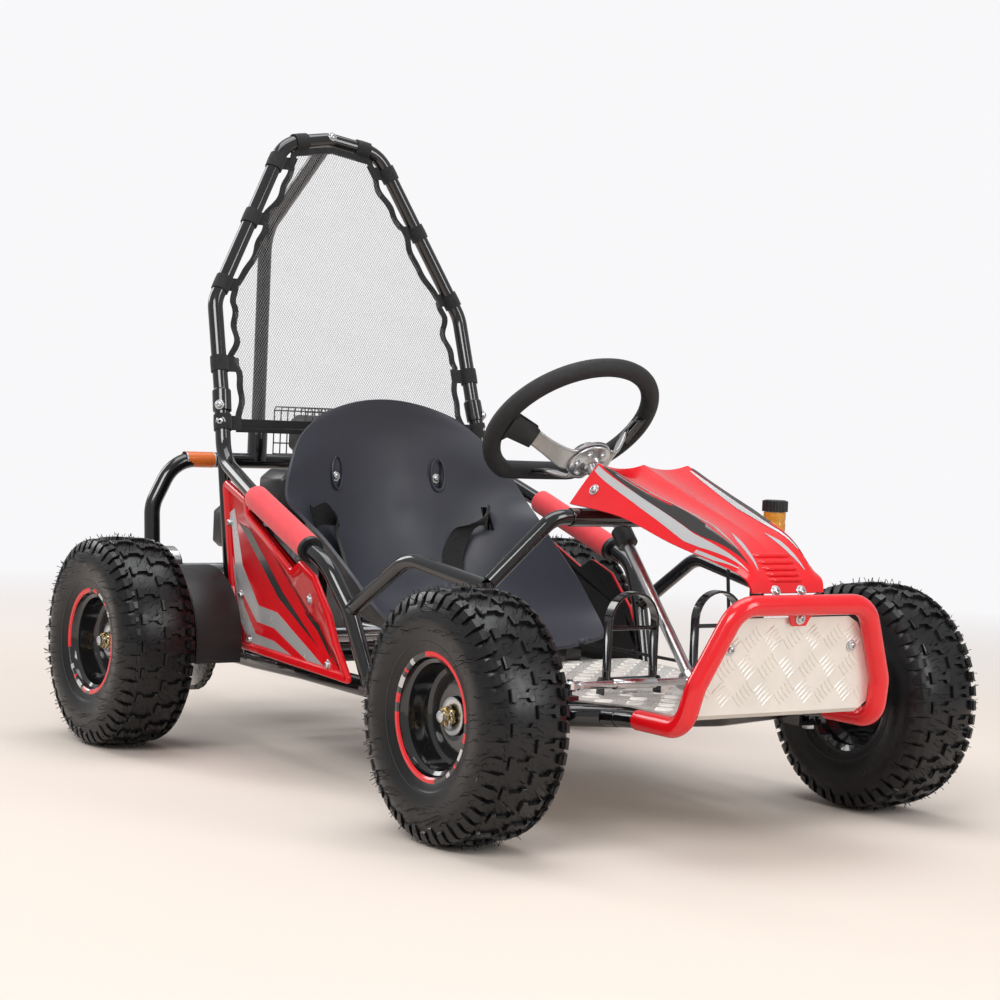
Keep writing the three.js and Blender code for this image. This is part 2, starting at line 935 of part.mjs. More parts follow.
piece(
  "lower_frame",
  join(
    rails(),
    crossTube(engineRear, railHalfAt(engineRear), railRearHeight),
    crossTube(engineFront, railHalfAt(engineFront), railRearHeight),
    crossTube(seatCrossFromRear, railHalfAt(seatCrossFromRear), railRearHeight),
    crossTube(seatFrontCrossFromRear, railWideHalf, railMidHeight),
    box(
      byRear(engineRear - enginePlateMargin, -enginePlateHalf, plateLowZ),
      byRear(engineFront + enginePlateMargin, enginePlateHalf, plateTopZ),
    ),
    ...bumperSpigots,
    hanger(1),
    hanger(-1),
    seatPosts,
    seatPad,
    mirrored(seatPad),
    seatRest,
    mirrored(seatRest),
    yoke(1),
    yoke(-1),
  ),
  blackPaint,
);

// Side frames: the main tube with the grip on it, the upright, the nerf tube and its leg
const sideMainPoints = [
  byRear(stubTopFromRear, stubTopHalf, stubTopHeight),
  byRear(kneeFromRear, kneeHalf, kneeHeight),
  byRear(gripRearFromRear, gripRearHalf, gripRearHeight),
  byRear(gripFrontFromRear, gripFrontHalf, gripFrontHeight),
  byRear(shoulderFromRear, shoulderHalf, shoulderHeight),
  byRear(legTopFromRear, legTopHalf, legTopHeight),
  byRear(legFootFromRear, railWideHalf, railMidHeight),
];
const dashJoint = byFront(dashJointFromFront, dashJointHalf, dashJointHeight);
const sideFrame = (stretch = 0) =>
  join(
    tube(sideMainPoints, sideTubeRadius + stretch, tubeBend, 8, 2),
    tube(
      [
        byRear(kneeFromRear, kneeHalf, kneeHeight),
        byRear(uprightBendFromRear, uprightBendHalf, uprightBendHeight),
        byRear(uprightFootFromRear, railHalfAt(uprightFootFromRear), railRearHeight),
      ],
      uprightRadius + stretch,
      tubeBend,
      6,
      2,
    ),
    tube(
      [
        byRear(legTopFromRear, legTopHalf, legTopHeight),
        byFront(nerfPeakFromFront, nerfPeakHalf, nerfPeakHeight),
        dashJoint,
      ],
      nerfTubeRadius + stretch,
      tubeBend,
      6,
      2,
    ),
    rod(
      dashJoint.clone().add(at(0, 0, nerfTubeRadius / 2)),
      byFront(railFrontFromFront, railFrontHalf, railFrontHeight),
      nerfTubeRadius + stretch,
      6,
    ),
  );
const frameLeft = cut(sideFrame(), stretchedRails);
const frameLeftStretched = sideFrame(gap);
for (const [word, side] of sides) {
  piece("side_frame_" + word, onSide(side, frameLeft), blackPaint);
  piece(
    "foam_grip_" + word,
    onSide(side, sleeve(sideMainPoints[2], sideMainPoints[3], gripRadius, sideTubeRadius, 10)),
    redFoam,
  );
}

// Dash tube, with the tabs that carry the cowl
const cowlAt = ([along, across, up]) =>
  byFront(
    cowlRearFromFront + cowlLong * along,
    cowlHalf * across,
    cowlFootHeight + cowlHigh * up,
  );
const dashBendPoint = byFront(dashBendFromFront, dashBendHalf, dashHeight);
const dashEnd = dashJoint.clone().lerp(dashBendPoint, dashEndShare);
const dashPoints = [
  dashEnd.clone().setY(-dashEnd.y),
  dashBendPoint.clone().setY(-dashBendHalf),
  dashBendPoint,
  dashEnd,
];
const dashMiddle = byFront(dashBendFromFront, 0, dashHeight);
const dashTube = tube(dashPoints, dashTubeRadius, tightBend, 8, 2);
const dashSleeve = rod(
  dashMiddle.clone().setY(-dashSleeveHalf),
  dashMiddle.clone().setY(dashSleeveHalf),
  dashSleeveRadius,
);
const skirtRear = cowlAt(cowlSkirtShares[0]);
const skirtNext = cowlAt(cowlSkirtShares[1]);
const skirtZ = mix(
  skirtRear.z,
  skirtNext.z,
  (dashMiddle.x + dashTabWide / 2 - skirtRear.x) / (skirtNext.x - skirtRear.x),
);
const cowlTab = box(
  dashMiddle.clone().add(at(-dashTabWide / 2, cowlHalf - dashTabInset - dashTabThick, 0)),
  at(
    dashMiddle.x + dashTabWide / 2,
    cowlHalf - dashTabInset / 2,
    skirtZ - cowlThick / 2 - gap,
  ),
);
const reservoirArm = box(
  at(dashMiddle.x, reservoirHalf - reservoirArmWide / 2, reservoirFoot - reservoirArmThick - gap),
  byFront(
    reservoirFromFront + reservoirArmWide / 2,
    reservoirHalf + reservoirArmWide / 2,
    reservoirFoot - gap,
  ),
);
const reservoirArmRise = box(
  at(
    dashMiddle.x,
    reservoirHalf - reservoirArmWide / 2,
    reservoirFoot - reservoirArmThick - gap,
  ),
  at(dashMiddle.x + dashTubeRadius, reservoirHalf + reservoirArmWide / 2, dashHeight),
);
piece(
  "dash_tube",
  cut(
    join(dashTube, dashSleeve, cowlTab, mirrored(cowlTab), reservoirArm, reservoirArmRise),
    frameLeftStretched,
    mirrored(frameLeftStretched),
  ),
  blackPaint,
);

// Rear hoop
const rearHoopPoints = (side) => [
  byRear(rearHoopFootFromRear, side * railHalfAt(rearHoopFootFromRear), railRearHeight),
  byRear(rearHoopFromRear, side * rearHoopShoulderHalf, rearHoopShoulderHeight),
  byRear(rearHoopFromRear, side * rearHoopTopHalf, rearHoopTopHeight),
];
const rearHoop = (stretch = 0) =>
  tube(
    [...rearHoopPoints(-1), ...rearHoopPoints(1).reverse()],
    hoopTubeRadius + stretch,
    tubeBend,
    8,
    2,
  );
piece("rear_hoop", cut(rearHoop(), stretchedRails), blackPaint);

// Roll cage hoop with a collar over each stub of the side frames
const cagePoints = (side) => [
  byRear(stubTopFromRear, side * stubTopHalf, stubTopHeight),
  byRear(cageElbowFromRear, side * cageElbowHalf, cageElbowHeight),
  byRear(cageCornerFromRear, side * cageCornerHalf, cageCornerHeight),
];
const cageTop = byRear(cageTopFromRear, 0, cageTopHeight);
const cageLine = [...cagePoints(1), cageTop, ...cagePoints(-1).reverse()];
const cageHoop = (stretch = 0) => tube(cageLine, cageTubeRadius + stretch, cageBend, 8, 2);
const stubWay = sideMainPoints[0].clone().sub(sideMainPoints[1]).normalize();
const stubTop = sideMainPoints[0];
const cageCollar = cut(
  rod(
    stubTop.clone().addScaledVector(stubWay, -cageCollarDown),
    stubTop.clone().addScaledVector(stubWay, cageCollarUp),
    cageCollarRadius,
  ),
  rod(
    sideMainPoints[1],
    stubTop.clone().addScaledVector(stubWay, gap),
    sideTubeRadius + gap,
  ),
);
const stubEnd = rod(
  sideMainPoints[1],
  stubTop.clone().addScaledVector(stubWay, gap),
  sideTubeRadius + gap,
);
piece(
  "roll_cage_hoop",
  cut(join(cageHoop(), cageCollar, mirrored(cageCollar)), stubEnd, mirrored(stubEnd)),
  blackPaint,
);

// Brace from the top of the cage to the rear hoop
const braceFoot = byRear(rearHoopFromRear, 0, rearHoopTopHeight);
const braceElbow = byRear(rearHoopFromRear, 0, braceBendHeight);
piece(
  "cage_brace",
  cut(
    join(
      tube(
        [braceFoot, braceElbow, cageTop.clone().lerp(braceElbow, braceEndShare)],
        cageTubeRadius,
        tubeBend,
        8,
        3,
      ),
      rod(
        braceFoot,
        braceFoot.clone().add(at(0, 0, hoopTubeRadius + braceFootLong)),
        braceFootRadius,
      ),
    ),
    rearHoop(gap),
    cageHoop(gap),
  ),
  blackPaint,
);

// Safety net in the hoop, its edges drawn in between the straps
function cageCentreAt(height) {
  const [foot, elbow, corner] = cagePoints(1);
  const [low, high] = height < elbow.z ? [foot, elbow] : [elbow, corner];
  return low.clone().lerp(high, (height - low.z) / (high.z - low.z));
}
const netFootHeight = stubTopHeight + netFootLift;
function netPoint(across, up) {
  const centre = cageCentreAt(mix(netFootHeight, netTopHeight, up));
  const wave = Math.abs(Math.sin(Math.PI * up * netWaves));
  const half = centre.y - netInset - netSlack * wave;
  return at(centre.x, across * half, centre.z);
}
function netSheet() {
  const places = [];
  const faces = [];
  const wide = netColumns + 1;
  const corners = wide * (netRows + 1);
  const perSide = corners + netColumns * netRows * 4;
  const add = (place, side) => places.push(place.x + (side - 0.5) * netThick, place.y, place.z);
  const spot = (i, j) => netPoint((2 * j) / netColumns - 1, i / netRows);
  for (const side of [0, 1]) {
    for (let i = 0; i <= netRows; i += 1) {
      for (let j = 0; j <= netColumns; j += 1) add(spot(i, j), side);
    }
    for (let i = 0; i < netRows; i += 1) {
      for (let j = 0; j < netColumns; j += 1) {
        const low = netCordShare / 2;
        const high = 1 - low;
        add(spot(i + low, j + low), side);
        add(spot(i + low, j + high), side);
        add(spot(i + high, j + high), side);
        add(spot(i + high, j + low), side);
      }
    }
  }
  const outer = (side, i, j) => side * perSide + i * wide + j;
  const inner = (side, i, j, k) =>
    side * perSide + corners + (i * netColumns + j) * 4 + (k % 4);
  const quad = (a, b, c, d) => faces.push(a, b, c, a, c, d);
  for (let i = 0; i < netRows; i += 1) {
    for (let j = 0; j < netColumns; j += 1) {
      const rim = (side) => [
        outer(side, i, j),
        outer(side, i, j + 1),
        outer(side, i + 1, j + 1),
        outer(side, i + 1, j),
      ];
      for (let k = 0; k < 4; k += 1) {
        const next = (k + 1) % 4;
        quad(rim(1)[k], rim(1)[next], inner(1, i, j, next), inner(1, i, j, k));
        quad(rim(0)[next], rim(0)[k], inner(0, i, j, k), inner(0, i, j, next));
        quad(inner(1, i, j, k), inner(1, i, j, next), inner(0, i, j, next), inner(0, i, j, k));
      }
    }
  }
  const wall = (a, b) => quad(outer(0, ...a), outer(0, ...b), outer(1, ...b), outer(1, ...a));
  for (let i = 0; i < netRows; i += 1) {
    wall([i + 1, 0], [i, 0]);
    wall([i, netColumns], [i + 1, netColumns]);
  }
  for (let j = 0; j < netColumns; j += 1) {
    wall([0, j], [0, j + 1]);
    wall([netRows, j + 1], [netRows, j]);
  }
  const made = new THREE.BufferGeometry();
  made.setAttribute("position", new THREE.BufferAttribute(new Float32Array(places), 3));
  made.setIndex(faces);
  return solid(made);
}
const straps = strapHeightShares.flatMap((share) => {
  const height = mix(netFootHeight, netTopHeight, share);
  const centre = cageCentreAt(height);
  const way = cageCentreAt(height + strapWide / 2)
    .sub(cageCentreAt(height - strapWide / 2))
    .normalize()
    .multiplyScalar(strapWide / 2);
  const low = centre.clone().sub(way);
  const high = centre.clone().add(way);
  const inner = around(cageTubeRadius, 6);
  const rise = (high.z - low.z) * strapTailShare;
  const tail = box(
    at(
      centre.x - strapThick,
      centre.y - netInset - netSlack - overrun,
      height - rise,
    ),
    at(centre.x + strapThick, centre.y, height + rise),
  );
  const strap = cut(
    join(rod(low, high, inner + strapThick, 6), tail),
    rod(low.clone().sub(way), high.clone().add(way), inner, 6),
  );
  return [strap, mirrored(strap)];
});
piece("safety_net", join(netSheet(), ...straps), meshCloth);

// Front bumper
const bumperPoints = (side) => [
  byFront(bumperEndFromFront, side * bumperEndHalf, bumperEndHeight),
  byFront(bumperKneeFromFront, side * bumperEndHalf, bumperEndHeight),
  byFront(bumperWaistFromFront, side * bumperWaistHalf, bumperWaistHeight),
  byFront(bumperTopFromFront, side * bumperCornerHalf, bumperTopHeight),
];
const bumperTube = (stretch = 0) =>
  tube(
    [...bumperPoints(-1), ...bumperPoints(1).reverse()],
    bumperTubeRadius + stretch,
    tightBend,
    8,
    3,
  );
// The plate leans with the bumper, a little behind the middle of its tube
const plateLean =
  (bumperTopFromFront - bumperWaistFromFront) / (bumperTopHeight - bumperWaistHeight);
const plateX = (height) =>
  frontX + bumperTopFromFront - plateBehindTube - plateLean * (bumperTopHeight - height);
const tabFrontX = plateX(bumperTopHeight - bumperTabLong) + bumperTabThick + gap * 2;
const bumperTab = slabX(
  [
    [-bumperTabHalf, bumperTopHeight],
    [-bumperTabLowHalf, bumperTopHeight - bumperTubeRadius - bumperTabLong],
    [bumperTabLowHalf, bumperTopHeight - bumperTubeRadius - bumperTabLong],
    [bumperTabHalf, bumperTopHeight],
  ],
  tabFrontX,
  tabFrontX + bumperTabThick,
);
const noseLipX = frontX + cowlRearFromFront + cowlLong;
const noseTab = box(
  at(
    noseLipX - noseTabWide / 2,
    noseTabHalf - noseTabWide / 2,
    cowlFootHeight - noseTabDrop - bumperTabThick,
  ),
  at(
    noseLipX - noseTabWide / 2 + noseTabLong,
    noseTabHalf + noseTabWide / 2,
    cowlFootHeight - noseTabDrop,
  ),
);
piece("front_bumper", join(bumperTube(), bumperTab, noseTab, mirrored(noseTab)), redPaint);

// Diamond plate and floor pan from one sheet, with the lugs that carry the pedals
const floorZ = railNoseHeight + railFlat + gap * 2;
const floorTop = floorZ + plateThick;
const plateStrip = (thickAhead) => [
  [plateX(plateTopHeight) + thickAhead, plateTopHeight],
  [plateX(plateFootHeight) + thickAhead, plateFootHeight],
];
const plateProfile = [
  ...plateStrip(0),
  [plateX(plateFootHeight) - floorBend, floorZ],
  [rearX + floorTailFromRear, floorZ],
  [rearX + floorTailFromRear, floorTop],
  [plateX(plateFootHeight) - floorBend - plateThick, floorTop],
  [plateX(plateFootHeight) - plateThick, plateFootHeight + plateThick / 2],
  [plateX(plateTopHeight) - plateThick, plateTopHeight],
];
const plateFrontOutline = [
  [-plateLowHalf, floorZ - overrun],
  [plateLowHalf, floorZ - overrun],
  [plateLowHalf, plateFootHeight],
  [plateShoulderHalf, plateShoulderHeight],
  [plateTopHalf, plateTopHeight - floorBend],
  [plateTopHalf - floorBend, plateTopHeight + overrun],
  [-plateTopHalf + floorBend, plateTopHeight + overrun],
  [-plateTopHalf, plateTopHeight - floorBend],
  [-plateShoulderHalf, plateShoulderHeight],
  [-plateLowHalf, plateFootHeight],
];
const bentPlate = slabY(plateProfile, -floorRearHalf, floorRearHalf);
const frontPart = bentPlate.intersect(
  slabX(plateFrontOutline, frontX + floorFrontFromFront, frontX + bumperTopFromFront),
);
const floorPart = bentPlate.intersect(
  slabZ(
    [
      [rearX + floorTailFromRear, -floorRearHalf],
      [frontX + floorNarrowFromFront, -railCornerHalf + railRadius * 2],
      [frontX + floorFrontFromFront + overrun, -plateLowHalf],
      [frontX + floorFrontFromFront + overrun, plateLowHalf],
      [frontX + floorNarrowFromFront, railCornerHalf - railRadius * 2],
      [rearX + floorTailFromRear, floorRearHalf],
    ],
    floorZ - overrun,
    floorTop + overrun,
  ),
);
const pedalX = frontX + pedalFromFront;
const pivotZ = floorTop + pedalPivotRise;
function pedalLugs(innerHalf, side) {
  const post = (half) =>
    box(
      at(pedalX - pedalPostHalf, side * half, floorTop - plateThick / 2),
      at(pedalX + pedalPostHalf, side * half + pedalPostThick, pivotZ + pedalPostHalf),
    );
  const low = side > 0 ? innerHalf - pedalPostThick - gap : innerHalf + pedalPostThick + gap;
  const high = side > 0 ? innerHalf + pedalWide + gap : innerHalf - gap;
  const far = side > 0 ? high : innerHalf + pedalWide + pedalPostThick + gap;
  return join(
    side > 0 ? post(low) : post(innerHalf - gap),
    post(far),
    rod(
      at(pedalX, side * (innerHalf - pedalPostThick), pivotZ),
      at(pedalX, side * (innerHalf + pedalWide + pedalPostThick), pivotZ),
      pedalPinRadius,
    ),
  );
}
piece(
  "floor_plate",
  join(frontPart, floorPart, pedalLugs(pedalInnerHalf, -1), pedalLugs(brakeInnerHalf, 1)),
  aluminium,
);

// Pedals: a wire stirrup on a boss that turns on its pin
function pedal(innerHalf, side) {
  const inner = innerHalf + pedalBarRadius;
  const outer = innerHalf + pedalWide - pedalBarRadius;
  const crossZ = mix(pivotZ, pivotZ + pedalHigh, pedalCrossShare);
  const bow = tube(
    [
      at(pedalX, inner, pivotZ),
      at(pedalX, inner, pivotZ + pedalHigh - pedalBarRadius),
      at(pedalX, outer, pivotZ + pedalHigh - pedalBarRadius),
      at(pedalX, outer, pivotZ),
    ],
    pedalBarRadius,
    tightBend / 2,
    6,
    3,
  );
  const made = cut(
    join(
      bow,
      drum(pedalX, pivotZ, pedalBossRadius, innerHalf, innerHalf + pedalWide, 12),
      rod(at(pedalX, inner, crossZ), at(pedalX, outer, crossZ), pedalBarRadius / 2, 6),
    ),
    drum(
      pedalX,
      pivotZ,
      around(pedalPinRadius, 12),
      innerHalf - overrun,
      innerHalf + pedalWide + overrun,
      12,
    ),
  );
  return onSide(side, made);
}
piece("accelerator_pedal", pedal(pedalInnerHalf, -1), blackPaint);
piece("brake_pedal", pedal(brakeInnerHalf, 1), blackPaint);

// Nose cowl
const cowlGrid = cowlCrestShares.map((crestShare, i) => {
  const crest = cowlAt(crestShare);
  const skirt = cowlAt(cowlSkirtShares[i]);
  const valley = crest.clone().add(at(0, 0, -cowlDip * cowlDipShares[i]));
  const middle = crest.clone().add(at(0, 0, -cowlDip * cowlBulgeShares[i]));
  const flip = (point) => at(point.x, -point.y, point.z);
  valley.y = crest.y / 2;
  middle.y = 0;
  return [skirt, crest, valley, middle, flip(valley), flip(crest), flip(skirt)];
});
piece("nose_cowl", sheet(cowlGrid, cowlThick), redPlastic);

// Seat
const seatGrid = seatRowShares.map((_, row) =>
  Array.from({ length: seatColumns + 1 }, (_, j) =>
    seatPoint(row, 1 - (2 * j) / seatColumns),
  ),
);
const seatX = (ahead) => rearX + seatTailFromRear + ahead;
const backSlot = box(
  at(seatX(-seatHigh / 4), seatPostHalf - seatSlotWide / 2, seatSlotLow),
  at(seatX(seatHigh / 4), seatPostHalf + seatSlotWide / 2, seatSlotHigh),
);
const beltSlot = box(
  at(seatX(-seatHigh / 4), beltSlotHalf - beltSlotLong / 2, beltSlotHeight - beltSlotHigh / 2),
  at(seatX(seatHigh / 3), beltSlotHalf + beltSlotLong / 2, beltSlotHeight + beltSlotHigh / 2),
);
piece(
  "seat_shell",
  cut(
    sheet(seatGrid, seatThick),
    backSlot,
    mirrored(backSlot),
    beltSlot,
    mirrored(beltSlot),
  ),
  seatPlastic,
);

// Lap belts, lying on the seat's sides below their slots
function seatFacet(row, across) {
  const step = 2 / seatColumns;
  const low = Math.floor((across + 1) / step) * step - 1;
  return seatPoint(row, low).lerp(seatPoint(row, low + step), (across - low) / step);
}
const beltGrid = Array.from({ length: beltSteps + 1 }, (_, i) => {
  const row = mix(beltTopRow, beltLowRow, i / beltSteps);
  return [beltInnerShare, (beltInnerShare + beltOuterShare) / 2, beltOuterShare].map(
    (across) => {
      const point = seatFacet(row, across);
      const down = seatFacet(row + 0.1, across).sub(seatFacet(row - 0.1, across));
      const over = seatFacet(row, across + 0.02).sub(seatFacet(row, across - 0.02));
      const off = down.cross(over).normalize();
      return point.addScaledVector(off, (off.x < 0 ? -1 : 1) * beltLift);
    },
  );
});
for (const [word, side] of sides) {
  piece("lap_belt_" + word, onSide(side, sheet(beltGrid, beltThick)), webbing);
}

// Side panels: a thin face with a raised rim, in a plane that leans and splays
function panel() {
  const outline = panelOutlineShares.map(([along, up]) => [
    rearX + panelTailFromRear + panelLong * along,
    panelFootHeight + panelHigh * up,
  ]);
  const count = outline.length;
  const inset = outline.map(([x, z], i) => {
    const [xa, za] = outline[(i + count - 1) % count];
    const [xb, zb] = outline[(i + 1) % count];
    const before = new THREE.Vector2(x - xa, z - za).normalize();
    const after = new THREE.Vector2(xb - x, zb - z).normalize();
    const inward = new THREE.Vector2(before.y + after.y, -before.x - after.x).normalize();
    const side = inward.dot(new THREE.Vector2(before.y, -before.x));
    return [
      x + (inward.x * panelRimWide) / Math.max(side, 0.5),
      z + (inward.y * panelRimWide) / Math.max(side, 0.5),
    ];
  });
  const lean = new THREE.Matrix4().set(
    1, 0, 0, 0,
    panelSplayShare, 1, panelLeanShare,
    panelFootHalf - panelSplayShare * (rearX + panelTailFromRear) -
      panelLeanShare * panelFootHeight,
    0, 0, 1, 0,
    0, 0, 0, 1,
  );
  const stand = (points, from, out) => {
    const made = new THREE.ExtrudeGeometry(flat(points), {
      depth: out - from,
      bevelEnabled: false,
    });
    return solid(made.rotateX(Math.PI / 2).translate(0, out, 0).applyMatrix4(lean));
  };
  const whole = stand(outline, 0, panelThick + panelRimHigh);
  return cut(whole, stand(inset, panelThick, panelThick + panelRimHigh + overrun));
}
for (const [word, side] of sides) {
  piece("side_panel_" + word, onSide(side, panel()), redPlastic);
}

// Engine block with its output shaft, exhaust port and cooling fins
const crankX = rearX + crankFromRear;
const blockFoot = plateTopZ + gap;
const blockTop = blockFoot + blockHigh;
const portTop = blockTop - portDrop;
const blockFront = crankX + blockLong / 2;
const blockRear = crankX - blockLong / 2;
const exhaustX = blockFront + exhaustAhead;
const fins = Array.from({ length: finCount }, (_, i) =>
  box(
    at(blockRear + blockEdge, -blockHalf + blockEdge, finFootHeight + finPitch * i),
    at(
      blockFront + finStand,
      blockHalf - blockEdge * 3,
      finFootHeight + finPitch * i + finThick,
    ),
  ),
);
piece(
  "engine_block",
  join(
    softBox(
      at(blockRear, -blockHalf, blockFoot),
      at(blockFront, blockHalf, blockTop),
      blockEdge,
    ),
    ...fins,
    drum(crankX, crankHeight, shaftOutRadius, -shaftOutHalf, 0, 12),
    box(
      at(blockFront - portLong, exhaustHalf - portWide / 2, portTop - portHigh),
      at(blockFront + portLong, exhaustHalf + portWide / 2, portTop),
    ),
  ),
  castAlloy,
);
piece(
  "cooling_shroud",
  softBox(
    at(blockRear, -shroudRightHalf, blockTop + gap),
    at(blockRear + shroudLong, shroudLeftHalf, blockTop + gap + shroudHigh),
    shroudEdge,
  ),
  blackPlastic,
);
const recoilFoot = blockHalf + gap;
const recoilFace = recoilFoot + recoilDeep;
piece(
  "recoil_housing",
  turned(
    [
      [0, recoilFoot],
      [recoilRadius, recoilFoot],
      [recoilRadius, recoilFace - recoilStep * 2],
      [recoilRadius - recoilStep, recoilFace - recoilStep],
      [recoilRadius - recoilStep * 2, recoilFace],
      [0, recoilFace],
    ],
    crankX,
    crankHeight,
    16,
  ),
  redPlastic,
);
piece(
  "recoil_handle",
  box(
    at(crankX - handleWide / 2, recoilFace + gap, crankHeight + recoilRadius / 2),
    at(
      crankX + handleWide / 2,
      recoilFace + gap + handleDeep,
      crankHeight + recoilRadius / 2 + handleHigh,
    ),
  ),
  blackPlastic,
);
const tankFront = blockRear - gap;
piece(
  "fuel_tank",
  softBox(
    at(tankFront - tankLong, -tankHalf, tankFootHeight),
    at(tankFront, tankHalf, tankFootHeight + tankHigh),
    tankEdge,
  ),
  redPlastic,
);
const capX = tankFront - tankLong / 2;
const upright = (x, y, radius, low, high, count = 12) =>
  rod(at(x, y, low), at(x, y, high), radius, count);
piece(
  "fuel_cap",
  upright(
    capX,
    0,
    fuelCapRadius,
    tankFootHeight + tankHigh + gap,
    tankFootHeight + tankHigh + gap + fuelCapHigh,
  ),
  blackPlastic,
);
const filterHalf = blockHalf + carbLong;
piece(
  "air_filter_box",
  join(
    softBox(
      at(blockRear - filterEdge, -filterHalf - filterWide, filterFootHeight + filterHigh / 2),
      at(
        blockRear - filterEdge + filterLong,
        -filterHalf,
        filterFootHeight + filterHigh * 1.5,
      ),
      filterEdge,
    ),
    drum(
      blockRear + filterLong / 2,
      filterFootHeight + filterHigh * 0.8,
      carbRadius,
      -filterHalf - filterEdge,
      -blockHalf - gap,
      12,
    ),
  ),
  blackPlastic,
);
piece(
  "engine_switch",
  drum(
    blockFront - switchRadius * 3,
    plateTopZ + switchRadius * 4,
    switchRadius,
    blockHalf + gap,
    blockHalf + gap + switchHigh,
    12,
  ),
  redPlastic,
);

// Muffler on its pipe from the exhaust port, in a wire guard
const mufflerFront = blockRear + shroudLong - mufflerEdge * 2;
const mufflerRear = mufflerFront - mufflerLong;
const mufflerTop = mufflerFootHeight + mufflerHigh;
const pipeZ = mix(mufflerFootHeight, mufflerTop, 0.4);
piece(
  "muffler",
  join(
    softBox(
      at(mufflerRear, -mufflerRightHalf, mufflerFootHeight),
      at(mufflerFront, mufflerLeftHalf, mufflerTop),
      mufflerEdge,
    ),
    tube(
      [
        at(exhaustX, exhaustHalf, portTop + gap),
        at(exhaustX, exhaustHalf, pipeZ),
        at(mufflerFront - mufflerEdge, exhaustHalf, pipeZ),
      ],
      exhaustRadius,
      exhaustRadius * 2,
      8,
      3,
    ),
  ),
  darkSteel,
);
const guardFront = mufflerFront + guardStand;
const guardRear = mufflerRear - guardStand;
const guardTop = mufflerTop + guardStand;
const guardFoot = mufflerFootHeight - gap - guardWire;
const guardRight = -mufflerRightHalf - guardStand;
const guardLeft = mufflerLeftHalf + guardStand;
const wire = (points) => tube(points, guardWire, guardStand, 5, 1);
const guardHoops = Array.from({ length: guardLoops }, (_, i) => {
  const y = mix(guardRight, guardLeft, i / (guardLoops - 1));
  return wire([
    at(guardFront, y, guardFoot),
    at(guardFront, y, guardTop),
    at(guardRear, y, guardTop),
    at(guardRear, y, guardFoot),
  ]);
});
const guardRuns = [
  [guardFront, guardFoot],
  [guardRear, guardFoot],
  [guardFront, mix(guardFoot, guardTop, guardHighShare)],
  [mix(guardFront, guardRear, 0.5), guardTop],
].map(([x, z]) =>
  wire([at(x, guardRight - guardWire, z), at(x, guardLeft + guardWire, z)]),
);
const guardFeet = [0, 1].map((end) => {
  const y = mix(-mufflerRightHalf, mufflerLeftHalf, mix(0.2, 0.8, end));
  return wire([at(guardFront, y, guardFoot), at(guardRear, y, guardFoot)]);
});
piece("muffler_guard", join(...guardHoops, ...guardRuns, ...guardFeet), darkSteel);

// Wheels
const halfRim = rimWidth / 2;
const flangeIn = halfRim - flangeThick;
function rim(side, plane, bore) {
  const inner = around(bore, rimSegments);
  const under = dropRadius - rimWall;
  const profile = [
    [inner, -hubHalf],
    [hubRadius, -hubHalf],
    [hubRadius, discSet - discThick],
    [under, discSet],
    [under, -dropHalf],
    [beadRadius - rimWall, -halfRim],
    [flangeRadius, -halfRim],
    [beadRadius, -flangeIn],
    [dropRadius, -dropHalf],
    [dropRadius, dropHalf],
    [beadRadius, flangeIn],
    [flangeRadius, halfRim],
    [beadRadius - rimWall, halfRim],
    [under, discSet + discThick],
    [hubRadius, discSet],
    [hubRadius, hubHalf],
    [inner, hubHalf],
  ].map(([radius, y]) => [radius, side * (plane.half + y)]);
  return turned(profile, plane.x, axleZ, rimSegments);
}
function tyre(side, plane) {
  const half = tyreWidth / 2;
  const crown = tyreRadius - tyreWall;
  const profile = [
    [beadRadius + gap * 2, flangeIn - beadLong],
    [beadRadius + gap * 2, flangeIn - gap],
    [flangeRadius + gap * 2, flangeIn - gap],
    [mix(flangeRadius, tyreRadius, 0.4), half],
    [mix(flangeRadius, tyreRadius, 0.8), half * 0.95],
    [tyreRadius, half * 0.55],
    [tyreRadius, -half * 0.55],
    [mix(flangeRadius, tyreRadius, 0.8), -half * 0.95],
    [mix(flangeRadius, tyreRadius, 0.4), -half],
    [flangeRadius + gap * 2, -flangeIn + gap],
    [beadRadius + gap * 2, -flangeIn + gap],
    [beadRadius + gap * 2, -flangeIn + beadLong],
    [mix(flangeRadius, crown, 0.35), -half + tyreWall],
    [crown, -half * 0.4],
    [crown, half * 0.4],
    [mix(flangeRadius, crown, 0.35), half - tyreWall],
  ].map(([radius, y]) => [radius, side * (plane.half + y)]);
  return turned(profile, plane.x, axleZ, 14);
}
for (const [word, side] of sides) {
  const rear = { x: rearX, half: rearHalf };
  const front = { x: frontX, half: frontHalf };
  piece("rear_rim_" + word, rim(side, rear, rearAxleRadius), rimPaint);
  piece("rear_tyre_" + word, tyre(side, rear), tyreRubber);
  piece("front_rim_" + word, rim(side, front, stubAxleRadius), rimPaint);
  piece("front_tyre_" + word, tyre(side, front), tyreRubber);
}

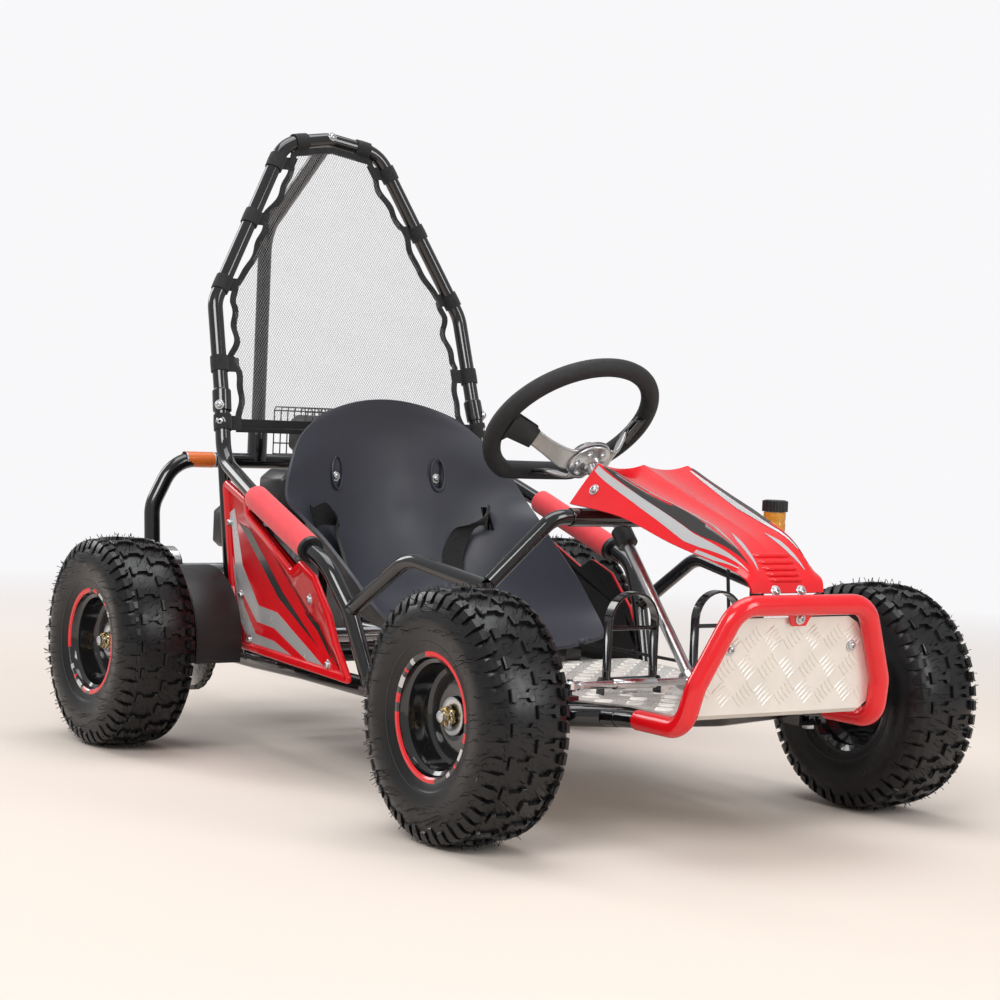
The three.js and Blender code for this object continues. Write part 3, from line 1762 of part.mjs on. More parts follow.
// Rear axle with its washers and nuts
const rearHubEnd = rearHalf + hubHalf + gap;
const rearEnd = [
  [rearAxleRadius, rearHubEnd],
  [washerRadius, rearHubEnd],
  [washerRadius, rearHubEnd + washerThick],
  [nutRadius, rearHubEnd + washerThick],
  [nutRadius, rearHubEnd + washerThick + nutThick],
  [axleTipRadius, rearHubEnd + washerThick + nutThick + axleTipLong],
  [0, rearHubEnd + washerThick + nutThick + axleTipLong],
];
piece(
  "rear_axle",
  turned(
    [...rearEnd.map(([radius, y]) => [radius, -y]).reverse(), ...rearEnd],
    rearX,
    axleZ,
    12,
  ),
  zinc,
);
for (const [word, side] of sides) {
  const bore = around(rearAxleRadius, 16);
  piece(
    "axle_bearing_" + word,
    onSide(
      side,
      turned(
        [
          [bore, bearingInnerHalf],
          [bearingFlangeRadius, bearingInnerHalf],
          [bearingFlangeRadius, bearingInnerHalf + bearingFlangeThick],
          [bearingRadius - gap, bearingInnerHalf + bearingFlangeThick],
          [bearingRadius - gap, bearingOuterHalf],
          [bore, bearingOuterHalf],
        ],
        rearX,
        axleZ,
        16,
      ),
    ),
    castAlloy,
  );
}

// Toothed wheels and the chain between them
function toothed(x, z, radius, teeth, thick) {
  const outline = [];
  for (let i = 0; i < teeth * 2; i += 1) {
    const angle = (Math.PI * (i + 0.5)) / teeth;
    const reach = i % 2 ? radius - toothDeep / 2 : radius + toothDeep / 2;
    outline.push([x + reach * Math.cos(angle), z + reach * Math.sin(angle)]);
  }
  return slabY(outline, -chainPlaneHalf - thick / 2, -chainPlaneHalf + thick / 2);
}
const axleBore = drum(
  rearX,
  axleZ,
  around(rearAxleRadius, 16),
  -guardOuterHalf - overrun,
  guardOuterHalf,
);
piece(
  "axle_sprocket",
  cut(
    join(
      toothed(rearX, axleZ, sprocketRadius, sprocketTeeth, sprocketThick),
      drum(
        rearX,
        axleZ,
        sprocketHubRadius,
        -chainPlaneHalf - sprocketHubHalf,
        -chainPlaneHalf + sprocketHubHalf,
      ),
    ),
    axleBore,
  ),
  zinc,
);
const clutchInner = -chainPlaneHalf + sprocketThick + chainWide;
piece(
  "clutch_drum",
  cut(
    join(
      toothed(crankX, crankHeight, pinionRadius, pinionTeeth, sprocketThick),
      drum(crankX, crankHeight, pinionRadius / 1.4, -chainPlaneHalf, clutchInner, 16),
      drum(crankX, crankHeight, clutchRadius, clutchInner, clutchInner + clutchDeep),
    ),
    drum(
      crankX,
      crankHeight,
      around(shaftOutRadius, 16),
      -shaftOutHalf,
      clutchInner + clutchDeep + overrun,
      16,
    ),
  ),
  darkSteel,
);
function chainLoop(grow) {
  const big = sprocketRadius + toothDeep / 2 + chainPlay + grow;
  const small = pinionRadius + toothDeep / 2 + chainPlay + grow;
  const span = new THREE.Vector2(crankX - rearX, crankHeight - axleZ);
  const heading = Math.atan2(span.y, span.x);
  const spread = Math.acos((big - small) / span.length());
  const points = [];
  const arc = (x, z, radius, from, to, steps) => {
    for (let k = 0; k <= steps; k += 1) {
      const angle = mix(from, to, k / steps);
      points.push([x + radius * Math.cos(angle), z + radius * Math.sin(angle)]);
    }
  };
  arc(rearX, axleZ, big, heading + spread, heading + 2 * Math.PI - spread, 18);
  arc(crankX, crankHeight, small, heading - spread, heading + spread, 8);
  return points;
}
const chainLow = -chainPlaneHalf - chainWide / 2;
piece(
  "drive_chain",
  cut(
    slabY(chainLoop(chainThick), chainLow, chainLow + chainWide),
    slabY(chainLoop(0), chainLow - overrun, chainLow + chainWide + overrun),
  ),
  darkSteel,
);

// Round chain guard, open on its inner side and where the chain leaves it
const guardHub = around(guardHoleRadius, 20);
const guardArmZ = railRearHeight;
piece(
  "chain_guard",
  join(
    cut(
      turned(
        [
          [guardHub, -guardOuterHalf],
          [guardRadius, -guardOuterHalf],
          [guardRadius, -guardInnerHalf],
          [guardRadius - guardWall, -guardInnerHalf],
          [guardRadius - guardWall, -guardOuterHalf + guardWall],
          [guardHub, -guardOuterHalf + guardWall],
        ],
        rearX,
        axleZ,
        20,
      ),
      box(
        at(
          rearX - guardRadius - overrun,
          -chainPlaneHalf - chainWide,
          axleZ - sprocketRadius / 2,
        ),
        at(rearX - guardRadius / 4, -guardInnerHalf + overrun, axleZ + guardRadius + overrun),
      ),
    ),
    box(
      at(
        rearX + guardRadius - guardArmThick - guardWall,
        -guardInnerHalf - guardArmWide,
        guardArmZ - guardArmWide / 2,
      ),
      at(
        rearX + guardRadius - guardWall,
        -railHalfAt(guardRadius) - railFlat - gap,
        guardArmZ + guardArmWide / 2,
      ),
    ),
  ),
  blackPlastic,
);

// Rear brake
piece(
  "brake_disc",
  cut(
    join(
      drum(
        rearX,
        axleZ,
        discRadius,
        discHalf - brakeDiscThick / 2,
        discHalf + brakeDiscThick / 2,
        24,
      ),
      drum(
        rearX,
        axleZ,
        sprocketHubRadius,
        discHalf - sprocketHubHalf,
        discHalf + sprocketHubHalf,
      ),
    ),
    axleBore,
  ),
  zinc,
);
const caliperX = rearX - discRadius + caliperBite - caliperLong;
const caliperZ = axleZ;
piece(
  "brake_caliper",
  cut(
    join(
      softBox(
        at(caliperX, discHalf - caliperHalf, caliperZ - caliperHigh / 2),
        at(caliperX + caliperLong, discHalf + caliperHalf, caliperZ + caliperHigh / 2),
        blockEdge / 2,
      ),
      box(
        at(
          caliperX,
          railHalfAt(caliperX - rearX + caliperLong / 2) + railRadius + gap,
          railRearHeight - caliperLugHigh / 2,
        ),
        at(
          caliperX + caliperLong / 2,
          discHalf,
          railRearHeight + caliperLugHigh / 2,
        ),
      ),
    ),
    box(
      at(
        rearX - discRadius - gap * 4,
        discHalf - brakeDiscThick / 2 - gap * 2,
        caliperZ - caliperHigh,
      ),
      at(rearX, discHalf + brakeDiscThick / 2 + gap * 2, caliperZ + caliperHigh),
    ),
  ),
  castAlloy,
);
const reservoirX = frontX + reservoirFromFront;
piece(
  "brake_reservoir",
  upright(
    reservoirX,
    reservoirHalf,
    reservoirRadius,
    reservoirFoot,
    reservoirFoot + reservoirHigh,
  ),
  amber,
);
piece(
  "reservoir_cap",
  upright(
    reservoirX,
    reservoirHalf,
    capRadius,
    reservoirFoot + reservoirHigh + gap,
    reservoirFoot + reservoirHigh + gap + capHigh,
  ),
  blackPlastic,
);
const hoseEnd = at(
  caliperX + caliperLong / 2,
  discHalf - caliperHalf / 2,
  caliperZ + caliperHigh / 2 + gap,
);
piece(
  "brake_hose",
  tube(
    [
      at(reservoirX - reservoirArmWide, reservoirHalf - 14, reservoirFoot - 8),
      at(hoseOutX, hoseOutHalf, hoseOutHeight),
      at(hoseDashX, hoseDashHalf, hoseDashHeight),
      at(hoseDropX, hoseDropHalf, hoseDropHeight),
      at(hoseDropX, hoseRailHalf, hoseRailHeight),
      at(hoseTurnX, hoseTurnHalf, hoseRunHeight),
      at(hoseSeatX, hoseSeatHalf, hoseRunHeight),
      at(hoseTailX, hoseTailHalf, hoseRunHeight),
      at(hoseRiseX, hoseRiseHalf, hoseRailHeight),
      at(hoseLoopX, hoseLoopHalf, hoseLoopHeight),
      at(hoseEnd.x, hoseEnd.y, hoseLoopHeight - hoseRadius),
      hoseEnd,
    ],
    hoseRadius,
    20,
    5,
    2,
  ),
  blackPlastic,
);

// Kingpins, spindles and tie rods
const armZ = barrelFootHeight + barrelHigh - steerArmDrop - steerArmThick;
const tieX = frontX + steerArmAhead;
const frontHubEnd = frontHalf + hubHalf + gap;
function spindle() {
  const barrel = cut(
    upright(frontX, kingpinHalf, barrelRadius, barrelFootHeight, barrelFootHeight + barrelHigh),
    upright(
      frontX,
      kingpinHalf,
      around(kingpinRadius, 12),
      barrelFootHeight - overrun,
      barrelFootHeight + barrelHigh + overrun,
    ),
  );
  const stub = turned(
    [
      [0, kingpinHalf + barrelRadius - overrun],
      [hubRadius / 1.6, kingpinHalf + barrelRadius - overrun],
      [hubRadius / 1.6, frontHalf - hubHalf - gap],
      [stubAxleRadius, frontHalf - hubHalf - gap],
      [stubAxleRadius, frontHubEnd],
      [washerRadius, frontHubEnd],
      [washerRadius, frontHubEnd + washerThick],
      [nutRadius, frontHubEnd + washerThick],
      [nutRadius, frontHubEnd + washerThick + nutThick],
      [axleTipRadius, frontHubEnd + washerThick + nutThick + axleTipLong / 2],
      [0, frontHubEnd + washerThick + nutThick + axleTipLong / 2],
    ],
    frontX,
    axleZ,
    10,
  );
  const arm = box(
    at(frontX + barrelRadius * 0.8, kingpinHalf - steerArmWide / 2, armZ),
    at(tieX + steerArmWide / 2, kingpinHalf + steerArmWide / 2, armZ + steerArmThick),
  );
  const stud = upright(tieX, kingpinHalf, studRadius, armZ, tieHeight + tieEndHigh / 2 + overrun, 10);
  return join(barrel, stub, arm, stud);
}
function tieRod() {
  const end = sleeveUpright(tieX, kingpinHalf, tieEndRadius, studRadius, tieHeight);
  const body = join(
    rod(
      at(tieX, kingpinHalf - tieEndRadius * 0.8, tieHeight),
      at(tieX, tieInnerHalf, tieHeight),
      tieRodRadius,
      6,
    ),
    rod(
      at(tieX, kingpinHalf - tieEndRadius * 2, tieHeight),
      at(tieX, kingpinHalf - tieEndRadius * 2 - tieSleeveLong, tieHeight),
      tieSleeveRadius,
      6,
    ),
  );
  const ball = solid(
    new THREE.SphereGeometry(tieBallRadius, 8, 5).translate(tieX, tieInnerHalf, tieHeight),
  );
  return join(end, body, ball);
}
function sleeveUpright(x, y, radius, bore, middle) {
  return cut(
    upright(x, y, radius, middle - tieEndHigh / 2, middle + tieEndHigh / 2, 12),
    upright(x, y, around(bore, 12), middle - tieEndHigh, middle + tieEndHigh, 12),
  );
}
const kingpin = join(
  upright(
    frontX,
    kingpinHalf,
    kingpinRadius,
    yokeLowZ - yokeThick - gap * 2,
    yokeTopZ + yokeThick + gap * 2,
    10,
  ),
  upright(
    frontX,
    kingpinHalf,
    kingpinHeadRadius,
    yokeTopZ + yokeThick + gap,
    yokeTopZ + yokeThick + gap + kingpinHeadHigh,
    6,
  ),
  upright(
    frontX,
    kingpinHalf,
    kingpinHeadRadius,
    yokeLowZ - yokeThick - gap - kingpinHeadHigh,
    yokeLowZ - yokeThick - gap,
    6,
  ),
);
for (const [word, side] of sides) {
  piece("kingpin_" + word, onSide(side, kingpin), zinc);
  piece("spindle_" + word, onSide(side, spindle()), blackPaint);
  piece("tie_rod_" + word, onSide(side, tieRod()), zinc);
}

// Steering column, raked back from its foot on the floor
const columnWay = at(-columnRakeShare, 0, Math.sqrt(1 - columnRakeShare ** 2));
const columnOut = at(columnWay.z, 0, -columnWay.x);
const columnFoot = byFront(columnFootFromFront, 0, columnFootHeight);
const along = (distance, out = 0, across = 0) =>
  columnFoot
    .clone()
    .addScaledVector(columnWay, distance)
    .addScaledVector(columnOut, out)
    .add(at(0, across, 0));
// A closed shape drawn across the column and thickened along it
function acrossColumn(shape, from, thick) {
  const made = new THREE.ExtrudeGeometry(shape, { depth: thick, bevelEnabled: false });
  const turn = new THREE.Matrix4().makeBasis(columnOut, at(0, 1, 0), columnWay.clone());
  turn.setPosition(along(from));
  return solid(made.applyMatrix4(turn));
}
const spanAcross = (outLow, outHigh, half) =>
  flat([[outLow, -half], [outHigh, -half], [outHigh, half], [outLow, half]]);
piece(
  "steering_shaft",
  join(
    rod(along(0), along(columnLong), columnRadius, 12),
    acrossColumn(spanAcross(-pitmanHalf, pitmanLong, pitmanHalf), 0, pitmanThick),
    rod(along(columnLong - columnThick), along(columnLong), hubPlateRadius, 16),
    rod(
      along(columnThick * 4),
      along(columnThick * 4 + columnBossLong / 2),
      columnBossRadius * 0.8,
      12,
    ),
  ),
  zinc,
);
const hubAt = columnLong + gap;
const rimAt = columnLong + steerDish;
const rimReach = (steerWheelRadius - steerRimRadius) * Math.cos(Math.PI / 20) - overrun;
function spokeSolid(angle, wide) {
  const place = (reach, rise, across) =>
    along(hubAt + rise)
      .addScaledVector(columnOut, reach * Math.cos(angle) - across * Math.sin(angle))
      .add(at(0, reach * Math.sin(angle) + across * Math.cos(angle), 0));
  const grid = [
    [0, 0],
    [spokeHubRadius, 0],
    [rimReach * 0.82, steerDish - spokeThick],
    [rimReach, steerDish - spokeThick],
  ].map(([reach, rise]) => [
    place(reach, rise, -wide / 2),
    place(reach, rise, wide / 2),
  ]);
  return sheet(grid, spokeThick);
}
const spokes = [
  [Math.PI / 2, spokeWide],
  [-Math.PI / 2, spokeWide],
  [0, spokeLowWide],
].map(([angle, wide]) => spokeSolid(angle, wide));
const wheelRing = new THREE.TorusGeometry(steerWheelRadius, steerRimRadius, 8, 20);
const columnTurn = new THREE.Matrix4().makeBasis(columnOut, at(0, 1, 0), columnWay.clone());
columnTurn.setPosition(along(rimAt));
piece("wheel_rim", solid(wheelRing.applyMatrix4(columnTurn)), gripFoam);
piece(
  "wheel_spokes",
  join(
    ...spokes,
    rod(along(hubAt), along(hubAt + spokeThick), spokeHubRadius, 16),
    rod(along(hubAt), along(hubAt + capBossHigh), capBossRadius, 12),
  ),
  spokeSteel,
);
const bearingAlong = dashMiddle.clone().sub(columnFoot).dot(columnWay);
const bossMid = along(bearingAlong);
piece(
  "column_bearing",
  cut(
    join(
      rod(
        along(bearingAlong - columnBossLong / 2),
        along(bearingAlong + columnBossLong / 2),
        columnBossRadius,
        12,
      ),
      rod(bossMid, dashMiddle, columnArmRadius, 8),
    ),
    rod(
      along(bearingAlong - columnBossLong),
      along(bearingAlong + columnBossLong),
      around(columnRadius, 12),
      12,
    ),
    rod(
      dashMiddle.clone().setY(-dashSleeveHalf),
      dashMiddle.clone().setY(dashSleeveHalf),
      dashSleeveRadius + gap,
    ),
  ),
  blackPaint,
);

// The kart stands over the middle of its own length
const extent = new THREE.Box3().setFromObject(kart);
kart.position.x = -(extent.min.x + extent.max.x) / 2;

export default kart;
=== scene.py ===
"""An off-road go kart in a plain studio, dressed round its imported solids.

The solids give the axles, the steering column and every other place. Sizes are
written in millimetres and become metres through MM. +X is the kart's nose, +Y
the driver's left and +Z up.
"""

import json
import math

import bmesh
import bpy
from mathutils import Matrix, Vector

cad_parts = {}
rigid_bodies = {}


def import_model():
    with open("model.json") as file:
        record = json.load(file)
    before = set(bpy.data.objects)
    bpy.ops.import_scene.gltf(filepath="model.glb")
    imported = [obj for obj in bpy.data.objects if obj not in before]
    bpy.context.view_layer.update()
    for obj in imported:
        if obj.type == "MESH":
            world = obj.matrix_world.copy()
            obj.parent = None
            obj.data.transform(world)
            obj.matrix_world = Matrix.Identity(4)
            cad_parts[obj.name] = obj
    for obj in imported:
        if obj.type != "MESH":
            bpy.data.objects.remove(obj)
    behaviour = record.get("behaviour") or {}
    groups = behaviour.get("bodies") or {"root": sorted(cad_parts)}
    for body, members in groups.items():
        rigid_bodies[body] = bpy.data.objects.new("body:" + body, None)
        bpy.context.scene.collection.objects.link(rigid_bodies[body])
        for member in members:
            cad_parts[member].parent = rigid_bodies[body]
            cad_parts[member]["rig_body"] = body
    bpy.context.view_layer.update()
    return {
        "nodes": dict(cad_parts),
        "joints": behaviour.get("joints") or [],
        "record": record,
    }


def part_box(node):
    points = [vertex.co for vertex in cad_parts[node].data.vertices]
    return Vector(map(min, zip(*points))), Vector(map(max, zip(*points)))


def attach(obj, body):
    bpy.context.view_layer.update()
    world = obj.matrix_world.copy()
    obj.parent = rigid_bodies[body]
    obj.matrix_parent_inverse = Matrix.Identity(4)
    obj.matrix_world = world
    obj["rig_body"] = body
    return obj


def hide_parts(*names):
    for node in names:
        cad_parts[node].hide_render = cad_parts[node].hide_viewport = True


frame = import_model()

MM = 0.001
AHEAD, SIDEWAYS, UP = Vector((1, 0, 0)), Vector((0, 1, 0)), Vector((0, 0, 1))
ORIGIN = Vector((0, 0, 0))
SIDES = (("left", 1), ("right", -1))
joints = {joint["name"]: joint for joint in frame["joints"]}
REAR_X, _, AXLE_Z = joints["rear_axle_spin"]["pos_m"]
FRONT_X = joints["kingpin_left"]["pos_m"][0]
REAR_AXLE = Vector((REAR_X, 0, AXLE_Z))


def spot(x, y, z):
    """A place in metres from millimetres."""
    return Vector((x, y, z)) * MM


def rear(ahead, y, z):
    """A place measured forwards from the rear axle, in millimetres."""
    return Vector((REAR_X, 0, 0)) + spot(ahead, y, z)


def front(ahead, y, z):
    """A place measured forwards from the front axle, in millimetres."""
    return Vector((FRONT_X, 0, 0)) + spot(ahead, y, z)


def mix(low, high, share):
    return low + (high - low) * share


def mirrored(place):
    """The same place on the other side of the kart."""
    return Vector((place.x, -place.y, place.z))


def on_side(side, place):
    """A place or direction of the left side, carried to side 1 (left) or -1 (right)."""
    return place if side > 0 else mirrored(place)


def foot_of(solid):
    """The middle of the underside of a solid's box."""
    low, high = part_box(solid)
    return Vector(((low.x + high.x) / 2, (low.y + high.y) / 2, low.z))


def thing(name, data):
    """An object in the scene round a mesh, a light or a camera."""
    made = bpy.data.objects.new(name, data)
    bpy.context.scene.collection.objects.link(made)
    return made


# The camera that took the photograph


def photo_camera():
    turn, dip, roll = (math.radians(angle) for angle in (55.4, 2.4, 2.5))
    level = Vector((math.cos(turn), math.sin(turn), 0))
    flat = Vector((-math.sin(turn), math.cos(turn), 0))
    ahead = flat * math.cos(dip) - UP * math.sin(dip)
    upward = level.cross(ahead)
    right = level * math.cos(roll) + upward * math.sin(roll)
    top = upward * math.cos(roll) - level * math.sin(roll)
    lens = bpy.data.cameras.new("studio_camera")
    lens.sensor_width, lens.lens, lens.shift_y, lens.clip_end = 36, 78.91, -0.001, 60
    camera = thing("studio_camera", lens)
    place = Matrix.Translation(Vector((2.8257, -1.9152, 0.5613)))
    camera.matrix_world = place @ Matrix((right, top, -ahead)).transposed().to_4x4()
    bpy.context.scene.camera = camera


photo_camera()


# Finishes: each one has mottled colour, uneven gloss and a fine grain in the surface


def node(tree, kind, out, feeds=None, **settings):
    """A new node's output. feeds gives its inputs, as values or as other outputs."""
    made = tree.nodes.new(kind)
    for name, value in settings.items():
        setattr(made, name, value)
    for name, value in (feeds or {}).items():
        if isinstance(value, bpy.types.NodeSocket):
            tree.links.new(value, made.inputs[name])
        else:
            made.inputs[name].default_value = value
    return made.outputs[out]


class Paint:
    """One finish's node tree, read in Object coordinates."""

    def __init__(self, name):
        self.material = bpy.data.materials.new(name)
        self.material.use_nodes = True
        self.tree = self.material.node_tree
        self.shader = self.tree.nodes["Principled BSDF"]
        self.place = self.node("TexCoord", "Object")

    def node(self, kind, out, feeds=None, **settings):
        return node(self.tree, "ShaderNode" + kind, out, feeds, **settings)

    def link(self, out, into):
        self.tree.links.new(out, into)

    def noise(self, scale, detail=3.0, stretch=None):
        place = self.place
        if stretch:
            place = self.node("Mapping", "Vector", {"Scale": stretch, "Vector": place})
        return self.node("TexNoise", "Fac", {"Scale": scale, "Detail": detail, "Vector": place})

    def ranged(self, value, low, high, into, start=0.3, end=0.7):
        ends = {"From Min": start, "From Max": end, "To Min": low, "To Max": high}
        self.link(self.node("MapRange", "Result", {"Value": value, **ends}), into)

    def blended(self, value, first, second):
        colour = self.node("ValToRGB", "Color", {"Fac": value})
        ramp = colour.node.color_ramp.elements
        for stop, position, shade in ((ramp[0], 0.3, first), (ramp[1], 0.7, second)):
            stop.position = position
            stop.color = (*shade, 1)
        self.link(colour, self.shader.inputs["Base Color"])

    def bumped(self, value, strength, depth):
        bump = {"Strength": strength, "Distance": depth, "Height": value}
        self.link(self.node("Bump", "Normal", bump), self.shader.inputs["Normal"])

    def set(self, **values):
        for name, value in values.items():
            self.shader.inputs[name.replace("_", " ")].default_value = value


def surface(name, colour, gloss, mottle, patch, grain, stretch=None, metal=0.0,
            coat=(0.0, 0.03), **values):
    """A finish of one colour, its roughness wandering between the two gloss values.

    patch and grain[0] are the scales of its mottling and its grain, grain[1] the
    grain's strength, and coat the weight and roughness of a clear coat."""
    paint = Paint(name)
    dark = tuple(c * (1 - mottle) for c in colour)
    light = tuple(min(c * (1 + mottle), 1) for c in colour)
    paint.blended(paint.noise(patch, stretch=stretch), dark, light)
    paint.ranged(paint.noise(patch * 4, 4.0, stretch), *gloss, paint.shader.inputs["Roughness"])
    paint.bumped(paint.noise(grain[0], 2.0, stretch), grain[1], 0.0003)
    paint.set(Metallic=metal, Coat_Weight=coat[0], Coat_Roughness=coat[1], **values)
    return paint.material


def woven(name, colour, thread, sheen):
    """Webbing or cord: threads over and under in slanting and level bands."""
    paint = Paint(name)
    paint.blended(paint.noise(40), tuple(c * 0.8 for c in colour), colour)
    paint.ranged(paint.noise(200), 0.75, 0.9, paint.shader.inputs["Roughness"])
    feeds = {"Scale": thread, "Distortion": 0.3, "Vector": paint.place}
    bands = [paint.node("TexWave", "Fac", feeds, bands_direction=way) for way in ("DIAGONAL", "Z")]
    crossed = paint.node("Math", "Value", dict(enumerate(bands)), operation="MULTIPLY")
    paint.bumped(crossed, 0.6, 0.0004)
    paint.set(Sheen_Weight=sheen, Sheen_Roughness=0.4)
    return paint.material


RED = (0.72, 0.006, 0.012)
BLACK_COAT = surface("black_powder_coat", (0.006, 0.006, 0.007), (0.10, 0.17), 0.2, 12,
                     (900, 0.05), coat=(0.5, 0.04))
RED_PLASTIC = surface("red_moulded_plastic", RED, (0.14, 0.22), 0.03, 7, (500, 0.02),
                      coat=(0.2, 0.05))
RED_COAT = surface("red_powder_coat", RED, (0.14, 0.22), 0.03, 9, (800, 0.03),
                   coat=(0.25, 0.04))
RED_FOAM = surface("red_grip_foam", (0.74, 0.042, 0.055), (0.72, 0.85), 0.06, 60,
                   (1600, 0.35), Sheen_Weight=0.25, Sheen_Roughness=0.5)
ZINC = surface("zinc_plate", (0.60, 0.61, 0.62), (0.27, 0.33), 0.04, 30, (120, 0.002), metal=1.0)
YELLOW_ZINC = surface("yellow_zinc", (0.66, 0.52, 0.28), (0.22, 0.30), 0.10, 40, (120, 0.004),
                      metal=1.0)
BRIGHT_STEEL = surface("drawn_steel", (0.66, 0.66, 0.67), (0.14, 0.28), 0.06, 30, (700, 0.06),
                       (1, 12, 1), metal=1.0)
SATIN_STEEL = surface("satin_spoke_steel", (0.50, 0.49, 0.48), (0.34, 0.46), 0.05, 40,
                      (900, 0.10), (1, 6, 1), metal=1.0)
PALE_PLATE = surface("pale_tread_plate", (0.80, 0.765, 0.715), (0.30, 0.40), 0.05, 25,
                     (500, 0.04), metal=0.45)
TYRE_RUBBER = surface("tyre_rubber", (0.0042, 0.0042, 0.005), (0.26, 0.40), 0.25, 30,
                      (350, 0.10), Specular_IOR_Level=0.40)
RIM_BLACK = surface("rim_gloss_black", (0.007, 0.007, 0.008), (0.09, 0.16), 0.2, 20,
                    (500, 0.03), coat=(0.6, 0.03))
SEAT_PLASTIC = surface("seat_plastic", (0.026, 0.028, 0.040), (0.40, 0.50), 0.05, 6,
                       (1400, 0.22))
BLACK_PLASTIC = surface("black_plastic", (0.010, 0.010, 0.011), (0.34, 0.46), 0.15, 20,
                        (900, 0.15))
MATT_BLACK = surface("matt_black_paint", (0.011, 0.011, 0.012), (0.42, 0.55), 0.15, 14,
                     (700, 0.12))
WHEEL_FOAM = surface("steering_foam", (0.014, 0.014, 0.015), (0.62, 0.75), 0.15, 40,
                     (1500, 0.30))
CAST_ALLOY = surface("cast_alloy", (0.30, 0.30, 0.31), (0.40, 0.55), 0.10, 40, (260, 0.35),
                     metal=0.85)
CHAIN_STEEL = surface("chain_steel", (0.20, 0.19, 0.17), (0.30, 0.45), 0.15, 60, (500, 0.10),
                      metal=1.0)
AMBER = surface("amber_cup", (0.80, 0.36, 0.04), (0.12, 0.2), 0.05, 30, (300, 0.02),
                Transmission_Weight=0.35)
STRIPE_SILVER = surface("silver_film", (0.56, 0.56, 0.57), (0.20, 0.28), 0.04, 10, (900, 0.04),
                        metal=0.35, coat=(0.4, 0.03))
STRIPE_DARK = surface("charcoal_film", (0.030, 0.028, 0.027), (0.18, 0.26), 0.06, 10,
                      (900, 0.04), coat=(0.4, 0.03))
REFLECTOR = surface("orange_film", (0.78, 0.17, 0.03), (0.25, 0.35), 0.05, 60, (1200, 0.08),
                    coat=(0.3, 0.03))
WEBBING = woven("black_webbing", (0.012, 0.012, 0.013), 240, 0.15)
NET_CORD = woven("net_cord", (0.22, 0.22, 0.225), 500, 0.1)

# The finish of each slot, for the pieces that name no other
FINISH = {
    "glossy_black": BLACK_COAT, "glossy_red": RED_COAT, "zinc": ZINC, "pale_plate": PALE_PLATE,
    "tyre_rubber": TYRE_RUBBER, "seat_plastic": SEAT_PLASTIC, "black_plastic": BLACK_PLASTIC,
    "engine_metal": CAST_ALLOY, "matt_black_steel": MATT_BLACK, "silver_steel": BRIGHT_STEEL,
    "chain_steel": CHAIN_STEEL, "amber_plastic": AMBER, "red_foam": RED_FOAM,
    "black_foam": WHEEL_FOAM, "black_webbing": WEBBING, "net_mesh": NET_CORD,
}


# Shapes: points and faces gathered into one piece


def arcs(points, bend, per_bend=8):
    """A route's straight runs, with a round bend of that radius at each inner point."""
    line = [points[0]]
    for start, corner, end in zip(points, points[1:], points[2:]):
        before = (corner - start).normalized()
        after = (end - corner).normalized()
        turn = before.angle(after)
        if turn < 0.002:
            line.append(corner)
            continue
        room = min((corner - start).length, (end - corner).length)
        set_back = min(bend * MM * math.tan(turn / 2), room * 0.45)
        radius = set_back / math.tan(turn / 2)
        inward = (after - before * after.dot(before)).normalized()
        for k in range(per_bend + 1):
            angle = turn * k / per_bend
            line.append(corner + before * (radius * math.sin(angle) - set_back)
                        + inward * (radius * (1 - math.cos(angle))))
    return line + [points[-1]]


def smooth_line(points, steps):
    """A soft curve through the points, in any number of coordinates."""
    last = len(points) - 1
    line = []
    for i in range(last):
        a, b, c, d = (points[max(0, min(i + k, last))] for k in (-1, 0, 1, 2))
        for t in (k / steps for k in range(steps)):
            line.append(tuple(
                0.5 * (2 * q + (r - p) * t + (2 * p - 5 * q + 4 * r - s) * t * t
                       + (3 * q - p - 3 * r + s) * t**3)
                for p, q, r, s in zip(a, b, c, d)))
    return line + [tuple(points[-1])]


def ring(radius, count):
    """A round section in millimetres."""
    turns = [2 * math.pi * k / count for k in range(count)]
    return [(radius * math.cos(turn), radius * math.sin(turn)) for turn in turns]


def skin(rows, wide, closed=False):
    """Faces between rings of points that lie one after the other."""
    return [
        [i * wide + k, i * wide + (k + 1) % wide, (i + 1) % rows * wide + (k + 1) % wide,
         (i + 1) % rows * wide + k]
        for i in range(rows if closed else rows - 1) for k in range(wide)
    ]


